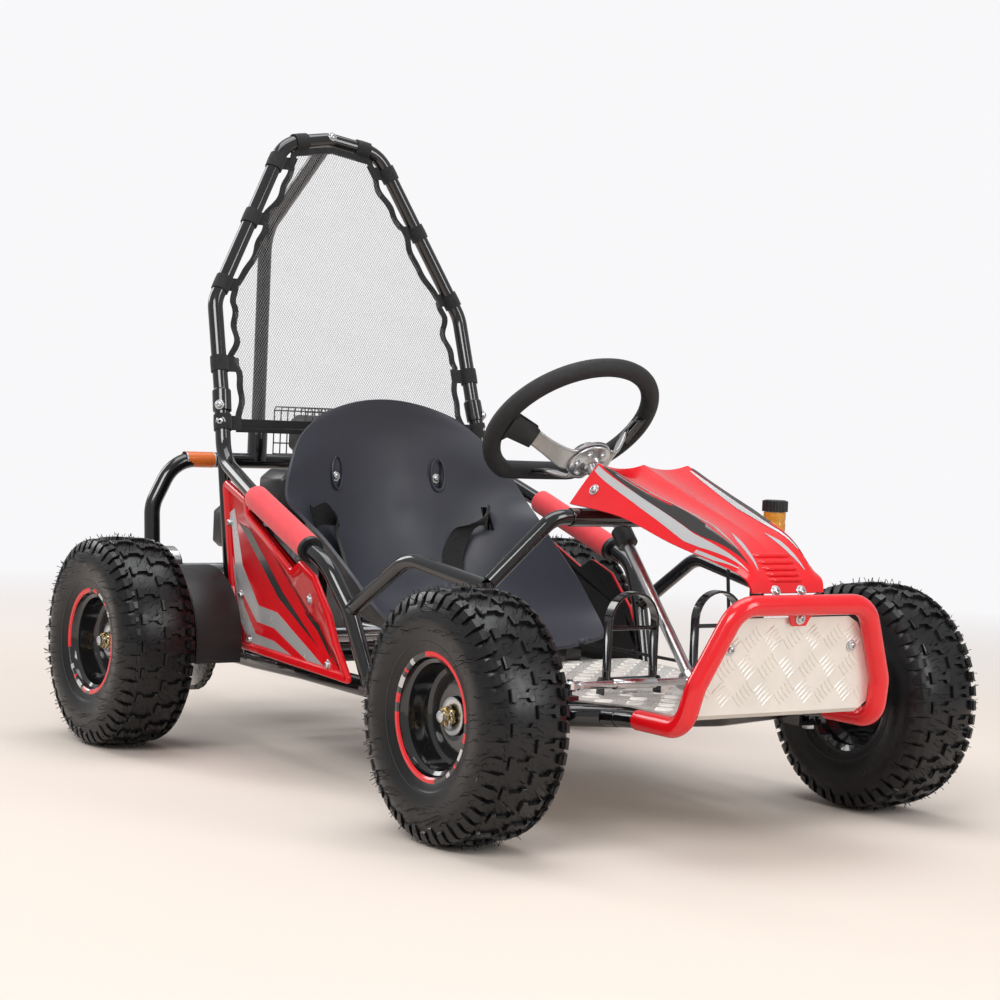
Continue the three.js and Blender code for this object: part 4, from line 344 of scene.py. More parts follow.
class Shape:
    """Points and faces of one piece. Each face keeps the number of its finish."""

    def __init__(self):
        self.points = []
        self.faces = []
        self.finish_of = []

    def add(self, points, faces, finish=0):
        start = len(self.points)
        self.points += [Vector(point) for point in points]
        self.faces += [[start + i for i in face] for face in faces]
        self.finish_of += [finish] * len(faces)
        return self

    def sweep(self, line, section, closed=False):
        """The section, in millimetres, carried along the line without twist."""
        count, wide = len(line), len(section)
        headings = []
        for i in range(count):
            back = line[i - 1] if closed or i else line[0]
            on = line[(i + 1) % count] if closed or i < count - 1 else line[-1]
            headings.append((on - back).normalized())
        side = headings[0].orthogonal().normalized()
        points = []
        for i, (place, heading) in enumerate(zip(line, headings)):
            if i:
                side = headings[i - 1].rotation_difference(heading) @ side
            side = (side - heading * side.dot(heading)).normalized()
            other = heading.cross(side)
            points += [place + (side * a + other * b) * MM for a, b in section]
        faces = skin(count, wide, closed)
        if not closed:
            faces += [list(range(wide))[::-1], [(count - 1) * wide + k for k in range(wide)]]
        return self.add(points, faces)

    def tube(self, points, radius, bend=70, count=20):
        return self.sweep(arcs(points, bend), ring(radius, count))

    def turn(self, profile, centre, axis, count=48, closed=False, paint=None):
        """A profile of (radius, along) in millimetres turned about an axis.

        An open profile starts and ends on the axis. paint(row, step) picks a finish."""
        axis = axis.normalized()
        side = AHEAD if abs(axis.y) > 0.99 else axis.orthogonal().normalized()
        other = axis.cross(side)
        points = []
        for a, b in ring(1, count):
            out = side * a + other * b
            points += [centre + (out * radius + axis * along) * MM for radius, along in profile]
        rows, start = len(profile), len(self.points)
        for k in range(count):
            here, there = start + k * rows, start + (k + 1) % count * rows
            for i in range(rows if closed else rows - 1):
                j = (i + 1) % rows
                self.faces.append([here + i, there + i, there + j, here + j])
                self.finish_of.append(paint(i, k / count) if paint else 0)
        self.points += points
        return self

    def rod(self, radius, low, high, centre, axis, count=24):
        return self.turn([(0, low), (radius, low), (radius, high), (0, high)], centre, axis, count)

    def collar(self, bore, radius, low, high, centre, axis, count=24):
        return self.turn([(bore, low), (radius, low), (radius, high), (bore, high)], centre, axis,
                         count, closed=True)

    def slab(self, outline, place, low, high, finish=0):
        """An outline of pairs, thickened from low to high: place(a, b, c) puts each point."""
        count = len(outline)
        points = [place(a, b, c) for c in (low, high) for a, b in outline]
        ends = [list(range(count))[::-1], list(range(count, 2 * count))]
        return self.add(points, ends + skin(2, count), finish)

    def grid(self, rows, finish=0):
        """A sheet through rows of points."""
        wide = len(rows[0])
        starts = [i * wide + j for i in range(len(rows) - 1) for j in range(wide - 1)]
        faces = [[a, a + 1, a + wide + 1, a + wide] for a in starts]
        return self.add([point for row in rows for point in row], faces, finish)

    def on_side(self, side):
        """A shape of the left side, carried to side 1 (left) or -1 (right)."""
        if side > 0:
            return self
        other = Shape()
        other.points = [mirrored(point) for point in self.points]
        other.faces = [face[::-1] for face in self.faces]
        other.finish_of = list(self.finish_of)
        return other

    def made(self, name, finishes, outward=True):
        mesh = bpy.data.meshes.new(name)
        mesh.from_pydata(self.points, [], self.faces)
        mesh.polygons.foreach_set("material_index", self.finish_of)
        for finish in finishes:
            mesh.materials.append(finish)
        tidy = bmesh.new()
        tidy.from_mesh(mesh)
        bmesh.ops.remove_doubles(tidy, verts=tidy.verts, dist=1e-6)
        if outward:
            bmesh.ops.recalc_face_normals(tidy, faces=tidy.faces)
        tidy.to_mesh(mesh)
        tidy.free()
        return thing(name, mesh)


def rounded(made, width, angle=35, segments=2):
    """Soft edges of that width in millimetres."""
    bevel = made.modifiers.new("soft_edges", "BEVEL")
    bevel.width = width * MM
    bevel.segments = segments
    bevel.limit_method = "ANGLE"
    bevel.angle_limit = math.radians(angle)
    bevel.harden_normals = True


def settled(made):
    """Works the piece's modifiers into its mesh."""
    graph = bpy.context.evaluated_depsgraph_get()
    mesh = bpy.data.meshes.new_from_object(made.evaluated_get(graph))
    made.modifiers.clear()
    made.data = mesh


def cut_by(made, shapes):
    """Takes the room that the shapes fill out of the piece."""
    cutters = [shape.made("cutter", made.data.materials) for shape in shapes]
    for cutter in cutters:
        cut = made.modifiers.new("cut", "BOOLEAN")
        cut.object, cut.solver = cutter, "EXACT"
    settled(made)
    for cutter in cutters:
        bpy.data.objects.remove(cutter)


def smoothed(made, crease):
    """Smooth shading up to the crease angle."""
    made.data.shade_smooth()
    made.data.set_sharp_from_angle(angle=math.radians(crease))
    return made


def placed(made, body, slot, *nodes, crease=40):
    """The finished piece on its body, in place of the named solids."""
    if made.modifiers:
        settled(made)
    smoothed(made, crease)
    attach(made, body)
    if nodes:
        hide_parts(*nodes)
    return made


def shown(shape, name, body, slot, *nodes, finishes=None, wall=None, soft=None, cuts=(),
          crease=40):
    """A piece made of a shape and placed.

    wall is (thickness, offset) for an open sheet, soft is (width, angle, segments)
    for its edges, and cuts are shapes taken out of it."""
    made = shape.made(name, finishes or [FINISH[slot]], outward=wall is None)
    if wall:
        solid = made.modifiers.new("thickness", "SOLIDIFY")
        solid.thickness = wall[0] * MM
        solid.offset = wall[1]
    if soft:
        rounded(made, *soft)
    if cuts:
        cut_by(made, cuts)
    return placed(made, body, slot, *nodes, crease=crease)


def softened(solid, slot, width, angle=30, trim=None, finish=None):
    """A CAD solid with its facets joined into faces and its edges softened.

    trim is a plane, and what lies past it is left out."""
    source = frame["nodes"][solid]
    mesh = source.data.copy()
    mesh.materials.clear()
    mesh.materials.append(finish or FINISH[slot])
    tidy = bmesh.new()
    tidy.from_mesh(mesh)
    bmesh.ops.remove_doubles(tidy, verts=tidy.verts, dist=2e-6)
    bmesh.ops.dissolve_limit(
        tidy, angle_limit=math.radians(1), verts=tidy.verts, edges=tidy.edges)
    if trim:
        parts = tidy.verts[:] + tidy.edges[:] + tidy.faces[:]
        bmesh.ops.bisect_plane(
            tidy, geom=parts, plane_co=trim[0], plane_no=trim[1], clear_outer=True)
        bmesh.ops.holes_fill(tidy, edges=[e for e in tidy.edges if e.is_boundary])
    for face in tidy.faces:
        face.material_index = 0
    tidy.to_mesh(mesh)
    tidy.free()
    made = thing(solid + "_finished", mesh)
    rounded(made, width, angle)
    placed(made, source["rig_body"], slot, solid, crease=32)


# Frame tubes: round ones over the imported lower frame, and the bars and hoops above it


def both(points):
    """A route carried over the middle and down the other side."""
    return points + [mirrored(point) for point in reversed(points) if abs(point.y) > 1e-6]


def weld(shape, place, axis, radius, thick=2.2):
    """A weld bead round a tube."""
    around = [(radius + thick * 0.5 * a, thick * b) for a, b in ring(1, 8)]
    shape.turn(around, place, axis, 24, closed=True)


def lower_frame():
    shape = Shape()
    rail = [rear(-356, 214, 137.5), rear(75, 229, 137.5), rear(261.5, 246, 144),
            rear(467.5, 255, 144), front(-108.5, 230, 150), front(17.5, 205, 161),
            front(56.5, 120, 161), front(83.5, 0, 161)]
    shape.tube(both(rail), 14.65, 42)
    for ahead, half, height in ((-215, 213, 137.5), (-90, 218, 137.5), (54.5, 224, 137.5),
                                (490, 252, 144)):
        shape.tube([rear(ahead, -half, height), rear(ahead, half, height)], 11.15)
        for side in (-1, 1):
            weld(shape, rear(ahead, side * (half - 12), height), SIDEWAYS, 11)
    for side in (-1, 1):
        shape.tube([rear(54.5, side * 98, 137.5), rear(54.5, side * 98, 457)], 8.65)
        weld(shape, rear(54.5, side * 98, 150), UP, 8.5)
        shape.tube([front(44.5, side * 165, 161), front(115.2, side * 165, 167)], 11.15)
        weld(shape, front(74, side * 165, 163.6), Vector((1, 0, 0.08)), 11)
    shown(shape, "lower_rails", "chassis", "glossy_black")


SIDE_BAR = [rear(-37.5, 249, 557), rear(-6.5, 257, 455), rear(142.5, 275, 403),
            rear(341.5, 285, 335), rear(390, 284, 317), rear(435.5, 270, 253),
            rear(480, 255, 144)]
DASH_JOINT = front(-130.5, 243, 317)
CAGE = [rear(-37.5, 249, 557), rear(-87.5, 243, 717), rear(-142.5, 94, 997),
        rear(-152.5, 0, 1013)]
CAGE_STUB = (SIDE_BAR[0] - SIDE_BAR[1]).normalized()


def side_frame():
    shape = Shape()
    branch = front(-297.5, 264, 342)
    shape.tube(SIDE_BAR, 12.5)
    shape.tube([SIDE_BAR[1], rear(24, 252, 250), rear(60, 228.5, 140)], 10)
    shape.tube([SIDE_BAR[5], branch, DASH_JOINT], 11)
    shape.tube([DASH_JOINT + spot(0, 0, 5.5), front(-108.5, 230, 152)], 11)
    way = branch - SIDE_BAR[5]
    weld(shape, SIDE_BAR[5] + way.normalized() * 14 * MM, way, 11)
    weld(shape, front(-109.6, 231, 164), UP, 11)
    weld(shape, rear(478.5, 255.5, 158), Vector((0.14, -0.13, -1)), 12.5)
    weld(shape, rear(57, 230, 152), Vector((0.3, -0.2, -1)), 10)
    for name, side in SIDES:
        shown(shape.on_side(side), f"side_bars_{name}", "chassis", "glossy_black",
              f"side_frame_{name}")


def rear_hoop():
    shape = Shape()
    leg = [rear(-335, 214.7, 139), rear(-372.5, 207, 360), rear(-372.5, 166, 443)]
    shape.tube(both(leg), 14)
    for side in (-1, 1):
        weld(shape, rear(-336.6, side * 214.2, 153), Vector((0.17, 0, -1)), 14)
    shown(shape, "rear_hoop_tube", "chassis", "glossy_black", "rear_hoop")


def roll_cage():
    shape = Shape()
    shape.tube(both(CAGE), 12.5, 60)
    sleeve = [(0, 0), (14.6, 0), (15.5, 0.9), (15.5, 35), (14.6, 36), (0, 36)]
    for side in (-1, 1):
        foot = on_side(side, CAGE[0] - CAGE_STUB * 24 * MM)
        end = on_side(side, CAGE[0] + CAGE_STUB * 12 * MM)
        shape.turn(sleeve, foot, end - foot, 32)
        weld(shape, end, end - foot, 13)
    shown(shape, "cage_tube", "chassis", "glossy_black", "roll_cage_hoop")


def cage_brace():
    shape = Shape()
    foot = rear(-372.5, 0, 443)
    shape.tube([foot, rear(-372.5, 0, 863), CAGE[3]], 12.5)
    shape.turn([(0, 0), (18, 0), (18, 51), (16.8, 54), (12.5, 54), (0, 54)], foot, UP, 32)
    shown(shape, "brace_tube", "chassis", "glossy_black", "cage_brace")


def dash_bar():
    shape = Shape()
    shoulder = front(-108.5, 150, 414)
    shape.tube(both([DASH_JOINT.lerp(shoulder, 0.06), shoulder]), 11, 42)
    shape.tube([front(-108.5, -120, 414), front(-108.5, 120, 414)], 13)
    arm = [(-2, -14), (24, -14), (30, -8), (30, 8), (24, 14), (-2, 14)]
    shape.slab(arm, lambda a, b, c: front(a * 4.6 - 108.5, 140 + b * 0.95, c), 391.8, 395.8)
    for side in (-1, 1):
        weld(shape, front(-108.5, side * 121, 414), SIDEWAYS, 12)
    shown(shape, "dash_bar", "chassis", "glossy_black", "dash_tube")


PLATE_TOP, PLATE_LEAN = 325, 0.18447
PLATE_OUT = Vector((1, 0, -PLATE_LEAN)).normalized()


def plate_x(height):
    """The front face of the sloping nose plate, in millimetres ahead of the front axle."""
    return 229 - PLATE_LEAN * (PLATE_TOP - height)


def bumper():
    shape = Shape()
    line = [front(116.5, 165, 167), front(206, 165, 167), front(219, 158, 222),
            front(238, 110, PLATE_TOP)]
    shape.tube(both(line), 13.5, 42)
    lean = Vector((PLATE_LEAN, 0, 1)).normalized()
    top = front(plate_x(PLATE_TOP) + 4.6, 0, PLATE_TOP)
    tab = [(-22, 0), (-22, -8), (-12, -28), (12, -28), (22, -8), (22, 0)]
    shape.slab(tab, lambda a, b, c: top + (SIDEWAYS * a + lean * b + PLATE_OUT * c) * MM,
               -1.5, 1.5)
    lug = [(-9, -4), (9, -4), (9, 8), (5, 13), (-5, 13), (-9, 8)]
    for side in (-1, 1):
        shape.slab(lug, lambda a, b, c: front(238 + c, side * 21 + a, PLATE_TOP + b), -3.5, -0.5)
    shown(shape, "bumper_tube", "chassis", "glossy_red", "front_bumper")


lower_frame()
side_frame()
rear_hoop()
roll_cage()
cage_brace()
dash_bar()
bumper()


# Bolts and other small repeated parts, set out by node trees


def geometry_tree(name, make, **inputs):
    """A tree with those inputs. What make returns is made real and given its finish."""
    tree = bpy.data.node_groups.new(name, "GeometryNodeTree")
    for title, kind in (*inputs.items(), ("Finish", "Material")):
        tree.interface.new_socket(title, in_out="INPUT", socket_type="NodeSocket" + kind)
    tree.interface.new_socket("Result", in_out="OUTPUT", socket_type="NodeSocketGeometry")
    given = tree.nodes.new("NodeGroupInput").outputs
    whole = node(tree, "GeometryNodeRealizeInstances", "Geometry",
                 {"Geometry": make(tree, given)})
    whole = node(tree, "GeometryNodeSetMaterial", "Geometry",
                 {"Geometry": whole, "Material": given["Finish"]})
    tree.links.new(whole, tree.nodes.new("NodeGroupOutput").inputs["Result"])
    return tree


def repeat_steps(tree, given):
    """One small part on every point, turned to that point's facing and heading."""
    facing, heading = (
        node(tree, "GeometryNodeInputNamedAttribute", "Attribute", {"Name": name},
             data_type="FLOAT_VECTOR") for name in ("facing", "heading"))
    align = "FunctionNodeAlignRotationToVector"
    upright = node(tree, align, "Rotation", {"Vector": facing}, axis="Z")
    along = node(tree, align, "Rotation", {"Rotation": upright, "Vector": heading}, axis="X",
                 pivot_axis="Z")
    part = node(tree, "GeometryNodeObjectInfo", "Geometry", {"Object": given["Part"]})
    return node(tree, "GeometryNodeInstanceOnPoints", "Instances",
                {"Points": given["Points"], "Instance": part, "Rotation": along})


REPEAT = geometry_tree("repeat_part", repeat_steps, Points="Geometry", Part="Object")


def grown(made, tree, finish, **values):
    """Turns the piece into what a node tree makes of it, in one finish."""
    values["Finish"] = finish
    modifier = made.modifiers.new("grown", "NODES")
    modifier.node_group = tree
    for item in tree.interface.items_tree:
        if item.in_out == "INPUT" and item.name in values:
            modifier[item.identifier] = values[item.name]
    made.update_tag()
    settled(made)
    made.data.materials.clear()
    made.data.materials.append(finish)
    return made


def repeated(name, spots, part, finish):
    """One mesh of the part at each (place, facing, heading)."""
    mesh = bpy.data.meshes.new(name)
    mesh.from_pydata([place for place, _, _ in spots], [], [])
    for title, at in (("facing", 1), ("heading", 2)):
        field = mesh.attributes.new(title, "FLOAT_VECTOR", "POINT")
        for k, one in enumerate(spots):
            field.data[k].vector = one[at]
    return grown(thing(name, mesh), REPEAT, finish, Part=part)


PATTERNS = []


def pattern(made):
    """A part of which only the copies are shown. It's taken away at the end."""
    PATTERNS.append(made)
    return made


def bolt_part(name, head, high, washer, button):
    """A bolt head of that half width on its washer: a button with a socket, or a hexagon."""
    shape = Shape()
    shape.turn([(0, 0), (washer, 0), (washer, 0.8), (washer - 0.5, 1.3), (0, 1.3)], ORIGIN, UP, 20)
    if button:
        dome = [(0, 1.2), (head, 1.2), (head, 1.2 + high * 0.35), (head * 0.86, 1.2 + high * 0.72),
                (head * 0.6, 1.2 + high), (head * 0.42, 1.2 + high), (head * 0.42, 1.6), (0, 1.6)]
        shape.turn(dome, ORIGIN, UP, 18)
    else:
        six = ring(head * 1.12, 6)
        small = [(a * 0.86, b * 0.86) for a, b in six]
        points = [spot(a, b, z) for z, edge in ((1.2, six), (high, six), (1.2 + high, small))
                  for a, b in edge]
        shape.add(points, skin(3, 6) + [[12 + k for k in range(6)]])
    return pattern(smoothed(shape.made(name, [ZINC]), 35))


BUTTON = bolt_part("button_bolt", 5.4, 3.6, 8.0, True)
SMALL_HEXAGON = bolt_part("small_hexagon_bolt", 3.6, 3.4, 5.4, False)


def bolts(name, body, spots, part=BUTTON):
    """Bolts at (place, facing) pairs."""
    full = [(place, facing.normalized(), facing.orthogonal().normalized())
            for place, facing in spots]
    placed(repeated(name, full, part, ZINC), body, "zinc")


# Wheels: tyres with moulded lugs and hairs, dished rims, washers and castle nuts

TYRE_RADIUS, BEAD = 165.0, 76.0
LUGS_ROUND, LUG_HIGH = 24, 5.0
# The tyre's skin from bead to crown, as (rise from the bead, half width)
CARCASS = [(BEAD + rise, half) for rise, half in (
    (1.5, 46), (6, 50.5), (12, 53.5), (17, 55.5), (20, 57.2), (22, 57.2), (25, 58.2),
    (36, 60.6), (48, 61.6), (58, 60.4), (67, 57.4), (74.5, 52.5), (79.6, 44), (82.6, 32),
    (84.0, 16), (84.4, 0))]


def tyre_profile():
    """The tyre's section as a closed loop of (radius, along)."""
    outer = smooth_line(CARCASS, 3)
    inner = [(BEAD + 2, -44), (BEAD + 12, -48), (BEAD + 40, -56), (BEAD + 66, -48),
             (BEAD + 74, -30), (BEAD + 76, 0)]
    return (outer + [(r, -w) for r, w in reversed(outer[:-1])]
            + inner + [(r, -w) for r, w in reversed(inner[:-1])])


CROWN_TO_BEAD = smooth_line(CARCASS, 3)[::-1]


def carcass_radius(along):
    """The tread's radius at a place across the tyre."""
    far = abs(along)
    for (r1, w1), (r2, w2) in zip(CROWN_TO_BEAD, CROWN_TO_BEAD[1:]):
        if w1 <= far <= w2:
            return mix(r1, r2, (far - w1) / max(w2 - w1, 1e-6))
    return CROWN_TO_BEAD[-1][0]


def on_tyre(radius, along, angle):
    return spot(radius * math.sin(angle), along, radius * math.cos(angle))


def lug(shape, outline, centre_angle, drop):
    """A tread block: an outline of (along the turn, across) in millimetres, on the tyre."""
    count = len(outline)
    mid_a = sum(a for a, _ in outline) / count
    mid_b = sum(b for _, b in outline) / count
    points = []
    for share, lift in ((1.05, -2.0), (1.0, LUG_HIGH - 1.0), (0.93, LUG_HIGH)):
        for a, b in outline:
            aa, bb = mid_a + (a - mid_a) * share, mid_b + (b - mid_b) * share
            radius = carcass_radius(bb) + lift
            if lift > 0:
                radius = min(radius, TYRE_RADIUS - drop * (bb / 40) ** 2)
            points.append(on_tyre(radius, bb, centre_angle + aa / TYRE_RADIUS))
    shape.add(points, skin(3, count) + [[2 * count + k for k in range(count)]])


def shoulder_lug(shape, side, centre_angle, reach):
    """A block that runs over the shoulder and down the sidewall, in reach steps."""
    points = []
    for radius, along, wide in ((161.5, 46, 6.5), (159.2, 52.4, 7.5), (153.6, 56.0, 7.0),
                                (147, 58.5, 5.6), (140, 60.4, 4.2))[:reach]:
        for r, w, a in ((radius, along, -wide), (radius, along, wide),
                        (radius - 8, along * 0.9, wide), (radius - 8, along * 0.9, -wide)):
            points.append(on_tyre(r, side * w, centre_angle + a / TYRE_RADIUS))
    last = 4 * (reach - 1)
    shape.add(points, skin(reach, 4) + [[3, 2, 1, 0], [last, last + 1, last + 2, last + 3]])


def lug_set():
    """The lugs of one pitch: bone-shaped centre blocks, hooked and straight edge blocks."""
    shape = Shape()
    half_bone = [(8.5, 35.5), (8.5, 29.5), (3.4, 26.5), (3.4, 10.5), (8.5, 7.5), (8.5, 1.5)]
    bone = half_bone + [(-a, b) for a, b in reversed(half_bone)]
    hook = [(-8, 39), (4, 39), (4, 44), (-1, 45), (-1, 49), (8, 50), (8, 54), (-8, 54)]
    bar = [(-3.4, 40), (3.4, 40), (5, 49), (5, 54), (-5, 54), (-5, 49)]
    quarter = math.pi / 2 / LUGS_ROUND
    for side, first, second in ((-1, 3 * quarter, quarter), (1, quarter, 3 * quarter)):
        for outline, angle, drop in ((bone, first, 0.9), (hook, second, 1.1), (bar, first, 1.1)):
            lug(shape, [(a, side * b) for a, b in outline], angle, drop)
        shoulder_lug(shape, side, second, 5)
        shoulder_lug(shape, side, first, 4)
    return shape


def round_steps(tree, given):
    """One pitch of a part turned round the Y axis as many times as it's told."""
    line = node(tree, "GeometryNodeMeshLine", "Mesh",
                {"Offset": (0, 0, 0), "Count": given["Count"]})
    index = node(tree, "GeometryNodeInputIndex", "Index")
    share = node(tree, "ShaderNodeMath", "Value", {0: index, 1: given["Count"]},
                 operation="DIVIDE")
    whole = node(tree, "ShaderNodeMath", "Value", {0: share, 1: 2 * math.pi},
                 operation="MULTIPLY")
    turned = node(tree, "ShaderNodeCombineXYZ", "Vector", {"Y": whole})
    return node(tree, "GeometryNodeInstanceOnPoints", "Instances",
                {"Points": line, "Instance": given["Pitch"], "Rotation": turned})


def hair_steps(tree, given):
    """Fine moulding hairs scattered over a tyre."""
    points = node(tree, "GeometryNodeDistributePointsOnFaces", "Points",
                  {"Mesh": given["Surface"], "Density": given["Density"], "Seed": given["Seed"]})
    part = node(tree, "GeometryNodeObjectInfo", "Geometry", {"Object": given["Hair"]})
    lean = node(tree, "FunctionNodeRandomValue", 0,
                {0: (-0.5, -0.5, 0), 1: (0.5, 0.5, 6.28)}, data_type="FLOAT_VECTOR")
    size = node(tree, "FunctionNodeRandomValue", 1, {2: 0.35, 3: 1.0})
    turned = node(tree, "FunctionNodeRotateRotation", "Rotation", {
        "Rotation": points.node.outputs["Rotation"],
        "Rotate By": node(tree, "FunctionNodeEulerToRotation", "Rotation", {"Euler": lean}),
    }, rotation_space="LOCAL")
    return node(tree, "GeometryNodeInstanceOnPoints", "Instances",
                {"Points": points, "Instance": part, "Rotation": turned, "Scale": size})


ROUND = geometry_tree("repeat_round", round_steps, Pitch="Geometry", Count="Int")
HAIRS = geometry_tree("moulding_hairs", hair_steps, Surface="Geometry", Hair="Object",
                      Density="Float", Seed="Int")
HAIR_LINE = [spot(0, 0, -0.5), spot(0.6, 0, 6), spot(2.8, 0, 12.5)]
HAIR = pattern(Shape().tube(HAIR_LINE, 0.6, 4, 4).made("tyre_hair", [TYRE_RUBBER]))


def merged(name, pieces, finish):
    """Several finished pieces of one finish joined into one mesh."""
    whole = bmesh.new()
    for piece in pieces:
        whole.from_mesh(piece.data)
        bpy.data.objects.remove(piece)
    mesh = bpy.data.meshes.new(name)
    whole.to_mesh(mesh)
    whole.free()
    mesh.materials.append(finish)
    return thing(name, mesh)


def tyre_pattern():
    """The tyre with its lugs and hairs, round the Y axis at the origin."""
    shape = Shape().turn(tyre_profile(), ORIGIN, SIDEWAYS, 96, closed=True)
    body = shape.made("tyre_body", [TYRE_RUBBER])
    body.data.shade_smooth()
    lugs = lug_set().made("tyre_lugs", [TYRE_RUBBER])
    grown(lugs, ROUND, TYRE_RUBBER, Count=LUGS_ROUND)
    lugs.data.shade_flat()
    bed = thing("tyre_hairs", body.data.copy())
    trimmed = bmesh.new()
    trimmed.from_mesh(bed.data)
    bare = []
    for face in trimmed.faces:
        middle = face.calc_center_median()
        out = Vector((middle.x, 0, middle.z))
        if out.length < 0.098 or middle.y < -0.036 or face.normal.dot(out) < -0.02:
            bare.append(face)
    bmesh.ops.delete(trimmed, geom=bare, context="FACES")
    trimmed.to_mesh(bed.data)
    trimmed.free()
    grown(bed, HAIRS, TYRE_RUBBER, Hair=HAIR, Density=6500.0, Seed=5)
    return merged("tyre_pattern", [body, lugs, bed], TYRE_RUBBER)


RIM_HALF = 51.5
RIM_PROFILE = [
    (12.6, 13), (24, 13), (30, 14.5), (40, 15), (50, 13.5), (58, 10.5), (63, 14), (65.5, 20),
    (67, 32), (69, 40), (74, 43), (75.5, 46), (76.5, RIM_HALF - 2), (79, RIM_HALF),
    (85, RIM_HALF), (88.2, RIM_HALF - 0.6), (89, RIM_HALF - 2), (88.4, RIM_HALF - 3.4),
    (80, RIM_HALF - 3.5), (76, RIM_HALF - 6), (76, 30), (66, 22), (66, -22), (76, -30),
    (76, 6 - RIM_HALF), (88.4, 3.5 - RIM_HALF), (89, 2 - RIM_HALF), (88, 0.6 - RIM_HALF),
    (80, -RIM_HALF), (77, 2 - RIM_HALF), (72, 6 - RIM_HALF), (72, -32), (62, -23), (62, 8),
    (50, 8.8), (40, 9.6), (24, 9), (24, -22), (12.6, -22),
]
RIM_RED, RIM_GREY = 1, 2
# Coloured arcs on the rim's lip, as shares of a turn. They come twice round
RIM_ARCS = ((0.02, 0.30, RIM_RED), (0.325, 0.345, RIM_RED), (0.36, 0.40, RIM_GREY),
            (0.41, 0.425, RIM_RED), (0.45, 0.465, RIM_GREY))


def rim_pattern():
    """The dished rim, round the Y axis at the origin, its outer face towards +Y."""

    def paint(row, share):
        if RIM_PROFILE[row][0] in (76.5, 79) and RIM_PROFILE[row][1] > 0:
            for half_turn in (0.0, 0.5):
                for start, end, finish in RIM_ARCS:
                    if half_turn + start <= share < half_turn + end:
                        return finish
        return 0

    shape = Shape().turn(RIM_PROFILE, ORIGIN, SIDEWAYS, 120, closed=True, paint=paint)
    return shape.made("rim_pattern", [RIM_BLACK, RED_COAT, STRIPE_SILVER])


def hub_stack(centre, side):
    """The washer, castle nut, tip and cotter pin on a wheel's outer face."""
    shape = Shape()
    out = SIDEWAYS * side
    washer = [(9, 0), (24.4, 0), (25, 0.6), (25, 2.4), (24.4, 3), (9, 3)]
    shape.turn(washer, centre, out, 48, closed=True)
    nut = centre + out * 3.2 * MM
    six = [(b, a) for a, b in ring(13.5, 6)]
    shape.slab(six, lambda a, b, c: nut + spot(a, c * side, b), 0, 8.6, 1)
    tooth = [(8.2, -2.6), (11.6, -3.4), (11.6, 3.4), (8.2, 2.6)]
    for k in range(6):
        turn = Matrix.Rotation(math.pi * k / 3, 3, "Y")
        shape.slab(tooth, lambda a, b, c: nut + turn @ spot(a, 0, b) + out * c * MM, 8, 12.4, 1)
    shape.turn([(0, 0), (7.6, 0), (7.6, 17.8), (6.6, 19), (0, 19)], nut, out, 24)
    pin = nut + out * 10.6 * MM
    for leg in (((-14, 0, 1.5), (0, 0, 0.6), (13, 0, 3), (18, side * 2, 9)),
                ((-14, 0, -1.2), (0, 0, -0.8), (12, 0, -4), (15, side * 2, -11))):
        shape.tube([pin + spot(*step) for step in leg], 1.15, 3, 8)
    return shape


def moved_copy(name, source, matrix, mirror):
    """The source's mesh at another place, in one mesh of its own."""
    mesh = source.data.copy()
    mesh.name = name
    mesh.transform(matrix)
    if mirror:
        mesh.flip_normals()
    return thing(name, mesh)


def wheels():
    parts = (("tyre", tyre_pattern(), "tyre_rubber"), ("rim", rim_pattern(), "glossy_black"))
    for title, side in SIDES:
        for end, x, half, body in (("rear", REAR_X, 433, "rear_axle_set"),
                                   ("front", FRONT_X, 358, f"front_wheel_{title}")):
            move = Matrix.Translation(Vector((x, side * half * MM, AXLE_Z)))
            turn = Matrix.Rotation(0.31 * (half % 7) + (0 if side > 0 else 0.9), 4, "Y")
            faced = Matrix.Diagonal((1, side, 1, 1))
            for kind, source, slot in parts:
                name = f"{end}_{kind}_{title}"
                made = moved_copy(name + "_full", source, move @ turn @ faced, side < 0)
                placed(made, body, slot, name, crease=30)
            centre = Vector((x, side * (half + 15.2) * MM, AXLE_Z))
            shown(hub_stack(centre, side), f"{end}_hub_nut_{title}", body, "zinc",
                  finishes=[ZINC, YELLOW_ZINC], soft=(0.35, 40, 1))
    for _, source, _ in parts:
        bpy.data.objects.remove(source)


wheels()


# Floor and nose plate with their raised tread


def floor_stations():
    """The sheet's middle line: (place, half width) from the tail of the floor to the nose."""
    low = plate_x(192)
    stations = [(rear(500, 0, 177.5), 206), (front(0, 0, 177.5), 176), (front(62, 0, 177.5), 138),
                (front(low - 22, 0, 177.5), 138), (front(low - 10, 0, 179), 138),
                (front(low - 3, 0, 184), 138)]
    for height, half in ((192, 150), (222, 148), (262, 134), (290, 116), (300, 108), (308, 92)):
        stations.append((front(plate_x(height) - 2.5, 0, height), half))
    return stations


